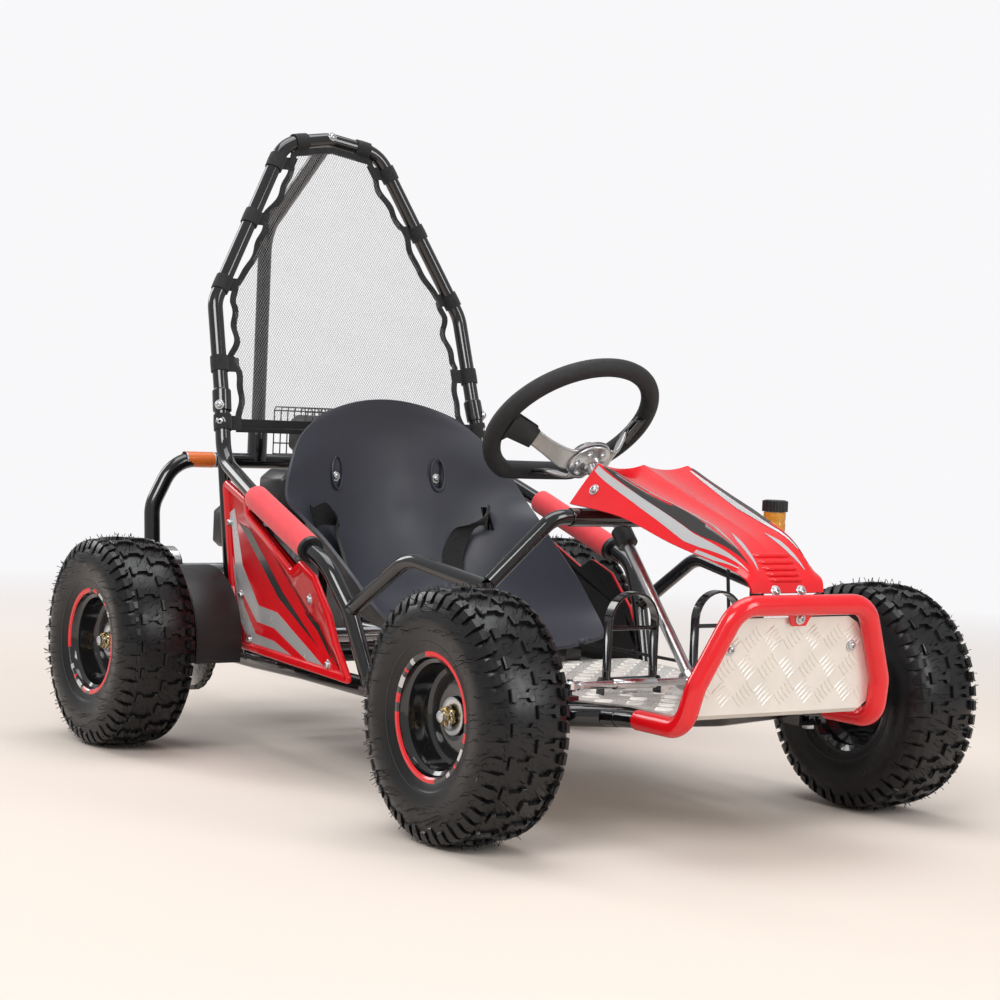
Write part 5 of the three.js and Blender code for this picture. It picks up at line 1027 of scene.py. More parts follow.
def treads(spots, stations, reach, ahead=0):
    """Places for the raised bars on one flat stretch of the sheet, five to a group."""
    (start, wide), (end, narrow) = stations
    along = end - start
    heading = along.normalized()
    facing = heading.cross(SIDEWAYS)
    facing = facing if facing.z + facing.x > 0 else -facing
    rows = max(1, round(along.length / (reach * MM)))
    for i in range(rows):
        for j in range(-8, 9):
            turn = 1 if (i + j) % 2 else -1
            slant = (heading + SIDEWAYS * turn).normalized()
            step = (heading - SIDEWAYS * turn).normalized()
            middle = start + along * ((i + 0.5) / rows) + SIDEWAYS * j * reach * MM
            for k in range(-2, 3):
                place = middle + step * k * reach * 0.19 * MM
                share = (place - start).dot(heading) / along.length
                if 0.04 < share < 0.96 and abs(place.y) / MM < mix(wide, narrow, share) - 8:
                    spots.append((place + spot(ahead, 0, 0), facing, slant))


def floor_plate():
    stations = floor_stations()
    rows = [[place + spot(0, side * half, 0) for side in (1, 0.5, 0, -0.5, -1)]
            for place, half in stations]
    shown(Shape().grid(rows), "floor_and_nose_plate", "chassis", "pale_plate", "floor_plate",
          wall=(2.5, -1), crease=25)
    spots = []
    for first, second, reach, ahead in ((0, 1, 29, 0), (1, 2, 29, 0), (2, 3, 29, 0),
                                        (6, 8, 35, 2.5), (8, 10, 35, 2.5)):
        treads(spots, (stations[first], stations[second]), reach, ahead)
    outline = [(-13, 0), (-8, 1.6), (8, 1.6), (13, 0), (8, -1.6), (-8, -1.6)]
    points = [spot(a, b, -0.2) for a, b in outline]
    points += [spot(a * 0.72, b * 0.6, 1.0) for a, b in outline]
    bar = Shape().add(points, skin(2, 6) + [list(range(6, 12))])
    bar = pattern(bar.made("tread_lozenge", [PALE_PLATE], outward=False))
    placed(repeated("plate_tread", spots, bar, PALE_PLATE), "chassis", "pale_plate")


def pedals():
    x, pivot = -33.5, 193.5
    lugs = Shape()
    ears = [(-8, 176), (8, 176), (8, pivot + 2), (4, pivot + 8), (-4, pivot + 8), (-8, pivot + 2)]
    for name, low, high in (("accelerator", -112, -18), ("brake", 40, 134)):
        shape = Shape()
        left, right = high - 7, low + 7
        middle, half = (left + right) / 2, (left - right) / 2
        bend = [k * math.pi / 28 for k in range(29)]
        band = []
        for reach in (half + 1.7, half - 1.7):
            arch = [(middle + reach * math.cos(a), 316 - half + reach * math.sin(a)) for a in bend]
            arch = [(middle + reach, pivot)] + arch + [(middle - reach, pivot)]
            band += arch if reach > half else arch[::-1]
        shape.slab(band, lambda a, b, c: front(x + c, a, b), -8, 8)
        shape.tube([front(x, right, 267.8), front(x, left, 267.8)], 3.0, count=12)
        shape.collar(5.4, 8, 0, high - low - 1, front(x, low + 0.5, pivot), SIDEWAYS)
        for y in (right, left):
            shape.tube([front(x, y, pivot), front(x, y, pivot + 16)], 5.4, count=16)
        shown(shape, f"{name}_stirrup", name, "glossy_black", f"{name}_pedal", soft=(0.5, 50, 1))
        for y in (low - 3.4, high + 0.6):
            lugs.slab(ears, lambda a, b, c: front(x + a, c, b), y, y + 2.8)
        lugs.rod(4.6, -6, high - low + 6, front(x, low, pivot), SIDEWAYS, 20)
    shown(lugs, "pedal_lugs", "chassis", "glossy_black", soft=(0.5, 40, 1))


floor_plate()
pedals()


# Nose cowl: a moulded saddle with two crests, drawn through sections from tail to nose

# Each section's (along, aside, up) at its crest and at its skirt's edge, then its hollows
CREST = [(0.068, 0.727, 1), (0.357, 0.655, 0.789), (0.646, 0.545, 0.586), (0.795, 0.527, 0.454),
         (0.911, 0.473, 0.283), (0.976, 0.436, 0.125), (1, 0.418, 0)]
SKIRT = [(0, 1, 0.618), (0.304, 0.918, 0.546), (0.565, 0.8, 0.368), (0.744, 0.709, 0.263),
         (0.893, 0.627, 0.178), (0.973, 0.591, 0.112), (1, 0.555, 0)]
DIPS = (7.2, 8, 6.4, 4.8, 3.2, 1.6, 0)
BULGES = (0.8, 4, 5.6, 4.8, 3.2, 1.6, 0)
CREST_ASIDE = 0.55


def cowl_place(along, side, up):
    return front(-128.5 + 336 * along, 110 * side, 338 + 152 * up)


def cowl_lines():
    """Five soft lines from tail to nose: skirt edge, belly, crest, half crest and middle."""
    sections = []
    for crest, skirt, dip, bulge in zip(CREST, SKIRT, DIPS, BULGES):
        edge, ridge = cowl_place(*skirt), cowl_place(*crest)
        half = Vector((ridge.x, ridge.y * 0.5, ridge.z - dip * MM))
        mid = Vector((ridge.x, 0, ridge.z - bulge * MM))
        belly = edge.lerp(ridge, 0.5) + spot(0, 2.5, 1.0)
        sections.append([edge, belly, ridge, half, mid])
    return [[Vector(p) for p in smooth_line(line, 10)] for line in zip(*sections)]


COWL_LINES = cowl_lines()


def on_cowl(along, aside):
    """A place on the cowl: along runs 0 to 1 from the tail, aside -1 to 1 over both crests."""
    far = abs(aside)
    last = len(COWL_LINES[0]) - 1
    step = min(max(along, 0), 1) * last
    low = min(int(step), last - 1)
    edge, belly, ridge, half, mid = (
        line[low].lerp(line[low + 1], step - low) for line in COWL_LINES)
    if far >= CREST_ASIDE:
        share = (far - CREST_ASIDE) / (1 - CREST_ASIDE)
        place = ridge * (1 - share) ** 2 + belly * 2 * share * (1 - share) + edge * share**2
        place = place.lerp(ridge.lerp(edge, share), 0.5)
    else:
        share = far / CREST_ASIDE
        place = mid * (1 - share) * (1 - 2 * share) + half * 4 * share * (1 - share)
        place += ridge * share * (2 * share - 1)
    return mirrored(place) if aside < 0 else place


def off_cowl(along, aside, lift):
    """A place that many millimetres off the cowl."""
    step = 0.004
    ahead = on_cowl(min(along + step, 1), aside) - on_cowl(max(along - step, 0), aside)
    side = on_cowl(along, min(aside + step, 1)) - on_cowl(along, max(aside - step, -1))
    return on_cowl(along, aside) + ahead.cross(side).normalized() * lift * MM


def decal(shape, edges, lift, finish, steps=40, wide=4):
    """A film on the cowl. edges lists (along, aside_1, aside_2) from its tail to its tip."""
    rows = []
    for i in range(steps + 1):
        t = edges[0][0] + (edges[-1][0] - edges[0][0]) * i / steps
        k = max(j for j in range(len(edges) - 1) if edges[j][0] <= t + 1e-9)
        (t0, a0, b0), (t1, a1, b1) = edges[k], edges[k + 1]
        share = (t - t0) / max(t1 - t0, 1e-9)
        a, b = mix(a0, a1, share), mix(b0, b1, share)
        rows.append([off_cowl(t, mix(a, b, j / wide), lift) for j in range(wide + 1)])
    shape.grid(rows, finish)


# The films of one side: (finish, lift, edges), silver 0 and charcoal 1
NOSE_FILMS = (
    (0, 0.35, [(0.01, 0.57, 0.63), (0.20, 0.67, 0.79), (0.38, 0.75, 0.90), (0.46, 0.74, 0.88),
               (0.60, 0.71, 0.79), (0.76, 0.70, 0.715)]),
    (1, 0.35, [(0.03, 0.53, 0.56), (0.18, 0.50, 0.66), (0.36, 0.50, 0.735), (0.43, 0.52, 0.73),
               (0.56, 0.54, 0.65), (0.72, 0.56, 0.57)]),
    (0, 0.5, [(0.04, 0.49, 0.51), (0.25, 0.40, 0.49), (0.40, 0.44, 0.49), (0.60, 0.52, 0.535)]),
    (0, 0.35, [(0.46, 0.93, 0.985), (0.56, 0.90, 0.97), (0.70, 0.84, 0.86)]),
    (0, 0.35, [(0.44, 0.26, 0.27), (0.52, 0.28, 0.36), (0.62, 0.34, 0.41), (0.76, 0.44, 0.45)]),
)


def nose_cowl():
    rows = [[on_cowl(i / 60, (j - 36) / 36) for j in range(73)] for i in range(61)]
    shown(Shape().grid(rows), "nose_cowl_shell", "chassis", "glossy_red", "nose_cowl",
          finishes=[RED_PLASTIC], wall=(3, 1), crease=50)
    films = Shape()
    for side in (-1, 1):
        for finish, lift, edges in NOSE_FILMS:
            decal(films, [(t, side * a, side * b) for t, a, b in edges], lift, finish)
    shown(films, "nose_stripes", "chassis", "glossy_red", finishes=[STRIPE_SILVER, STRIPE_DARK],
          wall=(0.25, -1), crease=50)
    ribs = Shape()
    for k in range(5):
        along, wide = 0.630 + 0.054 * k, 0.33 - 0.006 * k
        line = [off_cowl(along, wide * j / 6, 0.3 - 2.6 * (abs(j) == 6)) for j in range(-6, 7)]
        ribs.sweep(line, ring(3.2, 12))
    shown(ribs, "nose_louvres", "chassis", "glossy_red", finishes=[RED_PLASTIC])
    spots = []
    for side in (-1, 1):
        for along, aside in ((0.972, 0.26), (0.055, 0.80)):
            here = off_cowl(along, side * aside, 0.2)
            spots.append((here, off_cowl(along, side * aside, 2) - here))
    bolts("nose_bolts", "chassis", spots)


nose_cowl()


# Side panels: recessed faces with raised rims, stripes and bolts

PANEL = [(0, 1), (0.204, 0.895), (0.219, 0.812), (0.566, 0.551), (0.624, 0.606), (0.733, 0.54),
         (0.843, 0.359), (0.895, 0.213), (1, 0.014), (0.142, 0.042), (0.065, 0.376)]
# The rim's rings from the back to the recessed face: (drawn in, standing out)
PANEL_RINGS = ((0.5, 0), (0, 1), (0, 4), (1.2, 6.6), (3, 8), (9.5, 8), (11.5, 7.2), (13.5, 4),
               (15, 3.2), (15, 0))
PANEL_BANDS = (
    (0, [(20, 226), (34, 205), (52, 120), (130, 62), (196, 58), (330, 16), (378, 17),
         (206, 84), (138, 88), (76, 146), (44, 236)]),
    (0, [(26, 176), (34, 160), (62, 60), (112, 22), (190, 18), (290, 15), (196, 38),
         (126, 42), (82, 82)]),
    (1, [(60, 214), (88, 196), (210, 108), (352, 46), (226, 118), (104, 206)]),
    (1, [(300, 96), (350, 70), (404, 26), (352, 82)]),
)


def on_panel(a, b, out):
    """A place on the left panel, a and b in millimetres from its rear foot."""
    return rear(6.5 + a, 247.6 + 0.066 * a + 0.042 * b + out, 144 + b)


def filleted(corners, bend):
    """A closed outline in millimetres with round corners."""
    count = len(corners)
    line = []
    for k in range(count):
        start, corner, end = (Vector((*corners[(k + d) % count], 0)) for d in (-1, 0, 1))
        route = arcs([corner.lerp(start, 0.5), corner, corner.lerp(end, 0.5)], bend / MM, 5)
        line += [(point.x, point.y) for point in route[1:-1]]
    return line


def inset(outline, width):
    """A closed outline drawn in by that width."""
    count = len(outline)
    turn = sum(outline[k - 1][0] * outline[k][1] - outline[k][0] * outline[k - 1][1]
               for k in range(count))
    sign = 1 if turn > 0 else -1
    drawn = []
    for k in range(count):
        start, here, end = (Vector(outline[(k + d) % count]) for d in (-1, 0, 1))
        first, second = (here - start).normalized(), (end - here).normalized()
        out = Vector((-first.y - second.y, first.x + second.x))
        out = out.normalized() * sign * width / max(0.5, math.cos(first.angle(second) / 2))
        drawn.append((here.x + out.x, here.y + out.y))
    return drawn


def side_panels():
    outline = filleted([(465 * a, 285 * b) for a, b in PANEL], 12)
    count, last = len(outline), len(PANEL_RINGS) - 1
    points = [on_panel(a, b, out) for width, out in PANEL_RINGS for a, b in inset(outline, width)]
    faces = skin(last, count)
    faces += [[k, (k + 1) % count, last * count + (k + 1) % count, last * count + k]
              for k in range(count)]
    faces += [[row * count + k for k in range(count)] for row in (last - 1, last)]
    shape = Shape().add(points, faces)
    stripes = Shape()
    for finish, band in PANEL_BANDS:
        stripes.slab(band, on_panel, 3.25, 3.45 + 0.1 * finish, finish)
    spots = [(on_panel(a, b, 3.2), Vector((-0.066, 1, -0.042)))
             for a, b in ((26, 212), (70, 98), (104, 30), (384, 24), (322, 116))]
    for name, side in SIDES:
        made = shape.on_side(side).made(f"side_panel_{name}_shell", [RED_PLASTIC, BLACK_PLASTIC])
        for face in made.data.polygons:
            face.material_index = int(face.normal.y * side < -0.6)
        placed(made, "chassis", "glossy_red", f"side_panel_{name}", crease=28)
        shown(stripes.on_side(side), f"side_stripes_{name}", "chassis", "glossy_red",
              finishes=[STRIPE_SILVER, STRIPE_DARK])
        bolts(f"side_bolts_{name}", "chassis",
              [(on_side(side, place), on_side(side, facing)) for place, facing in spots])


side_panels()


# Seat: a moulded bucket with recessed slots, and its belts

# Sections from the top of the back to the front edge: (ahead, up) in the middle, then
# (ahead, aside, up) at the edge, as shares of the seat's size, and how square the section is
SEAT_ROWS = [(0.015, 1, 0.034, 0.565, 0.928, 2), (0.004, 0.906, 0.075, 0.77, 0.828, 2),
             (0, 0.8, 0.139, 0.913, 0.697, 2), (0.013, 0.611, 0.203, 1, 0.568, 2.2),
             (0.049, 0.383, 0.306, 0.974, 0.491, 2.6), (0.145, 0.155, 0.406, 0.935, 0.416, 3),
             (0.316, 0.035, 0.562, 0.904, 0.29, 3.2), (0.573, 0, 0.701, 0.87, 0.166, 3),
             (0.786, 0.008, 0.808, 0.804, 0.094, 2.4), (0.915, 0.021, 0.915, 0.652, 0.062, 2),
             (1, 0.03, 0.951, 0.435, 0.043, 2)]
SEAT_LINE = smooth_line(SEAT_ROWS, 8)
SEAT_SLOT_UP = 442


def on_seat(row, aside):
    """A place on the seat: row 0 is the top of the back and 10 the front edge."""
    last = len(SEAT_LINE) - 1
    step = min(max(row / 10, 0), 1) * last
    low = min(int(step), last - 1)
    xm, zm, xe, ye, ze, power = (
        mix(a, b, step - low) for a, b in zip(SEAT_LINE[low], SEAT_LINE[low + 1]))
    bend = abs(aside) ** power
    return rear(70.5 + 468 * mix(xm, xe, bend), 230 * ye * aside, 192 + 373 * mix(zm, ze, bend))


def off_seat(row, aside, lift):
    """A place that many millimetres off the seat's inner face."""
    down = on_seat(row + 0.03, aside) - on_seat(row - 0.03, aside)
    side = on_seat(row, aside + 0.01) - on_seat(row, aside - 0.01)
    off = side.cross(down).normalized()
    inward = Vector((1, -0.3 * (1 if aside > 0 else -1), 1))
    return on_seat(row, aside) + (off if off.dot(inward) > 0 else -off) * lift * MM


def seat_rise(place):
    """How far ahead of a place the seat's face lies, in millimetres."""
    best = min((on_seat(r / 10, place.y / (0.230 * 0.93)) for r in range(0, 40)),
               key=lambda p: abs(p.z - place.z))
    return (best.x - place.x) / MM + 0.3


def box_at(place, long, wide, high):
    """A box round a place, from half its sizes in millimetres."""
    outline = [(-long, -wide), (long, -wide), (long, wide), (-long, wide)]
    return Shape().slab(outline, lambda a, b, c: place + spot(a, b, c), -high, high)


def seat():
    steps, wide = 70, 28
    rows = [[on_seat(10 * i / steps, math.sin(math.pi / 2 * j / wide))
             for j in range(-wide, wide + 1)] for i in range(steps + 1)]
    slots = [box for side in (-1, 1) for box in (
        box_at(rear(74, side * 98, SEAT_SLOT_UP), 60, 7.5, 22),
        box_at(rear(110, side * 168, 372), 70, 5, 19))]
    shown(Shape().grid(rows), "seat_bucket", "chassis", "seat_plastic", "seat_shell",
          wall=(5, 1), cuts=slots, crease=42)


def seat_details():
    """Raised lips round the slots, and the cups and bolts in them."""
    lips, cups, spots = Shape(), Shape(), []
    cup = [(14 * b, 31 * a) for a, b in ring(1, 28)]
    for side in (-1, 1):
        centre = rear(72.5, side * 98, SEAT_SLOT_UP)
        line = []
        for a, b in ring(1, 24):
            place = centre + spot(0, 11.5 * b, 26.84 * a)
            line.append(place + spot(seat_rise(place), 0, 0))
        lips.sweep(line, ring(1.8, 8), closed=True)
        face = centre.x / MM + seat_rise(centre)
        for outline, low, high in ((cup, 15, 10), (inset(cup, -2.5), 14, 5)):
            cups.slab(outline, lambda a, b, c: spot(c, side * 98 + a, SEAT_SLOT_UP + b),
                      face - low, face - high)
        spots.append((spot(face - 5, side * 98, 436), AHEAD))
    shown(lips, "seat_slot_lips", "chassis", "seat_plastic")
    shown(cups, "seat_slot_cups", "chassis", "seat_plastic")
    bolts("seat_bolts", "chassis", spots)


def belts():
    """Lap belts that come out of a slit each, fold over and lie down on the seat."""
    for name, side in SIDES:
        near = [(row / 10, side * aside / 50) for row in range(20, 60) for aside in range(25, 49)]
        row, aside = min(near, key=lambda at: math.hypot(
            on_seat(*at).y - side * 168 * MM, on_seat(*at).z - 372 * MM))
        slit = on_seat(row, aside)
        off = (off_seat(row, aside, 10) - slit).normalized()
        line = [slit - off * 7 * MM, slit + off * 3 * MM, slit + off * 20 * MM,
                slit + off * 29 * MM + spot(0, -side * 5, -9),
                slit + off * 24 * MM + spot(0, -side * 22, -15),
                off_seat(row + 0.3, aside - side * 0.16, 15),
                off_seat(row + 0.7, aside - side * 0.24, 8),
                off_seat(row + 1.1, aside - side * 0.27, 5)]
        up, flat = Vector((0.2, 0, 1)).normalized(), Vector((0.75, side * 0.6, 0.1)).normalized()
        track = smooth_line(line, 5)
        rows = []
        for i, here in enumerate(track):
            lie = up.slerp(flat, min(1, max(0, (i / (len(track) - 1) - 0.25) / 0.4)))
            rows.append([Vector(here) + lie * 19 * MM * (j / 3 - 1) for j in range(7)])
        length = sum((a[3] - b[3]).length for a, b in zip(rows, rows[1:]))
        made = shown(Shape().grid(rows), f"belt_{name}", "chassis", "black_webbing",
                     f"lap_belt_{name}", wall=(1.4, 0))


seat()
seat_details()
belts()


# Safety net: fine cords in the cage, its border and the straps round the tube

NET_LOW, NET_HIGH = 508, 984


def cage_at(height):
    """The left cage tube's centre at a height in millimetres."""
    foot, elbow, corner = CAGE[:3]
    low, high = (foot, elbow) if height * MM < elbow.z else (elbow, corner)
    if height * MM < foot.z:
        low, high = SIDE_BAR[1], SIDE_BAR[0]
    return low.lerp(high, (height * MM - low.z) / (high.z - low.z))


def net_half(up):
    """Half the net's width, up running 0 to 1 from its foot. It's drawn in between straps."""
    centre = cage_at(mix(NET_LOW, NET_HIGH, up))
    return centre.y - (24 + 12 * abs(math.sin(math.pi * up * 4)) ** 0.7) * MM


def on_net(up, y):
    """A place on the net, which hangs in slack waves lower down."""
    centre = cage_at(mix(NET_LOW, NET_HIGH, up))
    wave = math.sin(y * 21 + up * 9) * math.sin(up * 26 + y * 6)
    arch = max(0.0, up - 0.8) * 5 * max(0.0, 1 - abs(y) / 0.08)
    return Vector((centre.x + 3.0 * MM * wave * (1 - up) - 1.5 * MM * arch, y,
                   centre.z + 13 * MM * arch))


def cord_steps(tree, given):
    """A thin cord of every edge."""
    lines = node(tree, "GeometryNodeMeshToCurve", "Curve", {"Mesh": given["Edges"]})
    section = node(tree, "GeometryNodeCurvePrimitiveCircle", "Curve",
                   {"Resolution": 3, "Radius": given["Radius"]})
    return node(tree, "GeometryNodeCurveToMesh", "Mesh",
                {"Curve": lines, "Profile Curve": section})


def net_mesh():
    """Knots in staggered rows, joined by slanting cords."""
    pitch, rise = 4.6, 3.4
    rows = int((NET_HIGH - NET_LOW) / rise)
    points, edges, before = [], [], {}
    for i in range(rows + 1):
        up = i / rows
        half = net_half(up) / MM
        reach = int(half / pitch) * 2 + 2
        row = {}
        for k in range(-reach, reach + 1):
            if (k + i) % 2 or abs(k * pitch / 2) > half:
                continue
            row[k] = len(points)
            points.append(on_net(up, k * pitch / 2 * MM))
            edges += [(before[j], row[k]) for j in (k - 1, k + 1) if j in before]
        before = row
    mesh = bpy.data.meshes.new("safety_net_cords")
    mesh.from_pydata(points, edges, [])
    cords = geometry_tree("net_cords", cord_steps, Edges="Geometry", Radius="Float")
    return grown(thing("safety_net_cords", mesh), cords, NET_CORD, Radius=0.31 * MM)


def ribbon(shape, line, sides, wide, thick=1.6):
    """A flat band along a line, laid to each side of it along the given directions."""
    off = AHEAD * thick / 2 * MM
    points = []
    for place, side in zip(line, sides):
        reach = side * wide * MM / 2
        points += [place - reach - off, place + reach - off, place + reach + off,
                   place - reach + off]
    last = 4 * (len(line) - 1)
    shape.add(points, skin(len(line), 4) + [[3, 2, 1, 0], [last, last + 1, last + 2, last + 3]])


def strap(shape, centre, way, end, lie):
    """A band round the cage tube and its tail, which runs from there to the net."""
    band = [(12.7, -13), (14.8, -13), (15.2, 0), (14.8, 13), (12.7, 13)]
    shape.turn(band, centre, way, 28, closed=True)
    ribbon(shape, [centre.lerp(end, t / 6) for t in range(7)], [lie] * 7, 25, 2.4)


def net_border():
    shape = Shape()
    for side in (-1, 1):
        line, sides = [], []
        for i in range(97):
            up = i / 96
            flutter = 2.2 * math.sin(up * 61 + side) * MM
            here = on_side(side, on_net(up, net_half(up) + flutter))
            above, below = min(up + 0.01, 1), max(up - 0.01, 0)
            way = on_net(above, net_half(above)) - on_net(below, net_half(below))
            line.append(here + AHEAD * 2.5 * MM * math.sin(up * 47))
            sides.append(on_side(side, way).cross(AHEAD).normalized())
        ribbon(shape, line, sides, 11)
        for height in (NET_LOW + 8, 612, 746, 862, 962):
            up = (height - NET_LOW) / (NET_HIGH - NET_LOW)
            centre = on_side(side, cage_at(height))
            way = on_side(side, (cage_at(height + 5) - cage_at(height)).normalized())
            inner = Vector((centre.x, side * (net_half(max(up, 0.02)) - 6 * MM), centre.z))
            strap(shape, centre, way, inner, way)
    for height, wide in ((NET_LOW + 4, 22), (NET_HIGH - 3, 12)):
        up = (height - NET_LOW) / (NET_HIGH - NET_LOW)
        line = [on_net(up, net_half(up) * j / 24) for j in range(-24, 25)]
        ribbon(shape, line, [UP] * 49, wide, 1.8)
    for side in (-1, 1):
        centre = on_side(side, CAGE[2].lerp(CAGE[3], 0.34))
        way = on_side(side, CAGE[3] - CAGE[2]).normalized()
        strap(shape, centre, way, on_net(0.985, centre.y), SIDEWAYS)
    return shown(shape, "net_border_and_straps", "chassis", "black_webbing")


def safety_net():
    net = net_mesh()
    border = net_border()
    placed(net, "chassis", "net_mesh", "safety_net")
    widths = [2 * net_half(i / 40) for i in range(41)]
    slant = cage_at(NET_HIGH) - cage_at(NET_LOW)


safety_net()


# Foam grips on the side bars, the reflector strip and small frame bolts


def foam_grips():
    foot, end = SIDE_BAR[2], SIDE_BAR[3]
    way = end - foot
    long = way.length / MM
    profile = [(12.7, 0), (18.2, 0), (19.5, 0.6), (20, 2)]
    profile += [(20, long * k / 8) for k in range(1, 8)]
    profile += [(20, long - 7.5), (12.7, long - 7.5)]
    grip = Shape().turn(profile, foot, way, 40, closed=True)
    profile = [(12.7, long - 7.3), (20.1, long - 7.3), (20.1, long - 1.5), (19.4, long),
               (12.7, long)]
    tip = Shape().turn(profile, foot, way, 40, closed=True)
    for name, side in SIDES:
        made = shown(grip.on_side(side), f"foam_sleeve_{name}", "chassis", "red_foam",
                     f"foam_grip_{name}")
        shown(tip.on_side(side), f"foam_end_{name}", "chassis", "black_plastic")


def reflector():
    """A plain orange strip round the rear hoop's top bar, with a silver line at each end."""
    strip = Shape().collar(14.05, 14.35, -27, 27, rear(-372.5, -118, 443), SIDEWAYS, 40)
    shown(strip, "reflector_strip", "chassis", "glossy_black", finishes=[REFLECTOR])
    edge = Shape()
    for y in (-145.6, -90.4):
        edge.collar(14.05, 14.4, -1.4, 1.4, rear(-372.5, y, 443), SIDEWAYS, 40)
    shown(edge, "reflector_edges", "chassis", "glossy_black", finishes=[STRIPE_SILVER])


def frame_bolts():
    out = Vector((0.72, 0.68, 0.1)).normalized()
    spots = []
    for side in (-1, 1):
        for down, radius in ((14, 15.4), (42, 12.4)):
            place = CAGE[0] - CAGE_STUB * down * MM + out * radius * MM
            spots.append((on_side(side, place), on_side(side, out)))
    spots.append((rear(-141.5, 0, 1017.5), Vector((0.93, 0, 0.37))))
    bolts("cage_bolts", "chassis", spots)
    spots = [(front(plate_x(307) + 6.4, 0, 307), PLATE_OUT)]
    spots += [(front(plate_x(268) + 0.4, y, 268), PLATE_OUT) for y in (-104, 104)]
    bolts("nose_plate_bolts", "chassis", spots)


foam_grips()
reflector()
frame_bolts()


# Steering: column, dished spokes, foam rim and cap

COLUMN_FOOT = front(30.9, 0, 188.5)
COLUMN_WAY = Vector((-0.663, 0, 0.74862)).normalized()
COLUMN_OUT = Vector((COLUMN_WAY.z, 0, -COLUMN_WAY.x))
HUB_FACE, DISH, RIM_REACH = 403, 69, 125.0


def on_column(along, out=0.0, aside=0.0):
    return COLUMN_FOOT + (COLUMN_WAY * along + COLUMN_OUT * out + SIDEWAYS * aside) * MM


def steering_column():
    shape, foot = Shape(), on_column(0)
    shape.rod(8, 0, 398, foot, COLUMN_WAY, 32)
    shape.turn([(0, 10), (13.5, 10), (15, 12), (15, 26), (13.5, 28), (0, 28)], foot, COLUMN_WAY, 32)
    shape.turn([(0, 390), (12, 390), (14, 396), (32, 398), (33, 399.5), (33, 402),
                (32, HUB_FACE), (0, HUB_FACE)], foot, COLUMN_WAY)
    arm = (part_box("steering_shaft")[1].x - COLUMN_FOOT.x) / MM - 2
    pitman = [(-9, -9), (8, -38), (arm, -39), (arm + 2, -34), (arm + 2, 34), (arm, 39), (8, 38),
              (-9, 9)]
    shape.slab(pitman, lambda a, b, c: on_column(c, a, b), 0, 5)
    shown(shape, "steering_column", "steering", "zinc", "steering_shaft", soft=(0.6, 40, 1))
    low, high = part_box("column_bearing")
    middle = ((low + high) / 2 - COLUMN_FOOT).dot(COLUMN_WAY) / MM
    bush = Shape().turn([(8.4, -14), (14, -14), (15, -13), (15, 13), (14, 14), (8.4, 14)],
                        on_column(middle), COLUMN_WAY, 32, closed=True)
    shown(bush, "column_bush", "chassis", "glossy_black", "column_bearing",
          finishes=[BLACK_PLASTIC])
    spots = []
    for k in range(6):
        angle = math.pi * (k + 0.5) / 3
        for along, reach, way in ((410.2, 26, COLUMN_WAY), (397.4, 23, -COLUMN_WAY)):
            place = on_column(along, reach * math.cos(angle), reach * math.sin(angle))
            spots.append((place, way))
    bolts("wheel_hub_bolts", "steering", spots, SMALL_HEXAGON)


def steering_wheel():
    line = []
    for a, b in ring(1, 96):
        reach = RIM_REACH
        if a < -0.80:
            reach = min(reach, RIM_REACH * 0.86 / -a * 0.985 + 4)
        line.append(on_column(HUB_FACE + DISH, reach * a, reach * b))
    rim = Shape().sweep(line, ring(13.6, 20), closed=True)
    shown(rim, "steering_foam_rim", "steering", "black_foam", "wheel_rim")

    spokes, covers = Shape(), Shape()
    path = smooth_line([(30, 0.0, 1.25), (44, 3, 1.1), (66, 24, 0.86), (88, 50, 0.9),
                        (103, 62, 1.1), (113, 63.5, 1.2)], 5)
    for angle, wide, end in ((math.pi / 2, 34, 116), (-math.pi / 2, 34, 116), (math.pi, 26, 106)):
        def at(reach, rise, aside):
            return on_column(HUB_FACE + 0.4 + rise,
                             reach * math.cos(angle) - aside * math.sin(angle),
                             reach * math.sin(angle) + aside * math.cos(angle))

        spokes.grid([[at(reach, rise + 1.2 * (1 - (j / 3 - 1) ** 2),
                         wide * share * mix(-0.5, 0.5, j / 6)) for j in range(7)]
                     for reach, rise, share in path])
        edge = [(80, 0.56), (end - 8, 0.66), (end, 0.9)]
        patch = [(reach, -wide * share) for reach, share in edge]
        patch += [(reach, wide * share) for reach, share in reversed(edge)]
        for lift in (2.4, -5.2):
            covers.slab(patch, lambda a, b, c: at(a, 41 + (min(a, 104) - 80) * 0.86 + lift + c, b),
                        -1.4, 3.4)
    shown(spokes, "steering_spokes", "steering", "silver_steel", "wheel_spokes",
          finishes=[SATIN_STEEL], wall=(4.2, 0), soft=(0.8, 40, 2))
    shown(covers, "spoke_covers", "steering", "black_plastic", soft=(1.4, 40, 3))
    hub = [(0, 0.5), (34, 0.5), (35, 1.5), (35, 5), (33.5, 6.2), (0, 6.2)]
    cap = [(0, 6.3), (22.5, 6.3), (23, 9), (22, 15), (19, 17.6), (12, 18.6), (0, 18.9)]
    for profile, name, slot in ((hub, "steering_hub_plate", "zinc"),
                                (cap, "steering_cap", "black_plastic")):
        shown(Shape().turn(profile, on_column(HUB_FACE), COLUMN_WAY), name, "steering", slot)


steering_column()
steering_wheel()


# Brakes: disc, caliper, reservoir and hose


def ribbed_lid(solid, name, body, radii, count, period, high, top, soft):
    """A lid with a ribbed edge and a turned top, where the solid stands."""
    foot = foot_of(solid)
    around = []
    for k in range(count):
        radius = radii[0] if k % period < period / 2 else radii[1]
        angle = 2 * math.pi * k / count
        around.append((radius * math.cos(angle), radius * math.sin(angle)))
    shape = Shape().slab(around, lambda a, b, c: foot + spot(a, b, c), 0, high)
    shape.turn(top, foot, UP, 40)
    shown(shape, name, body, "black_plastic", solid, soft=(soft, 50, 1))


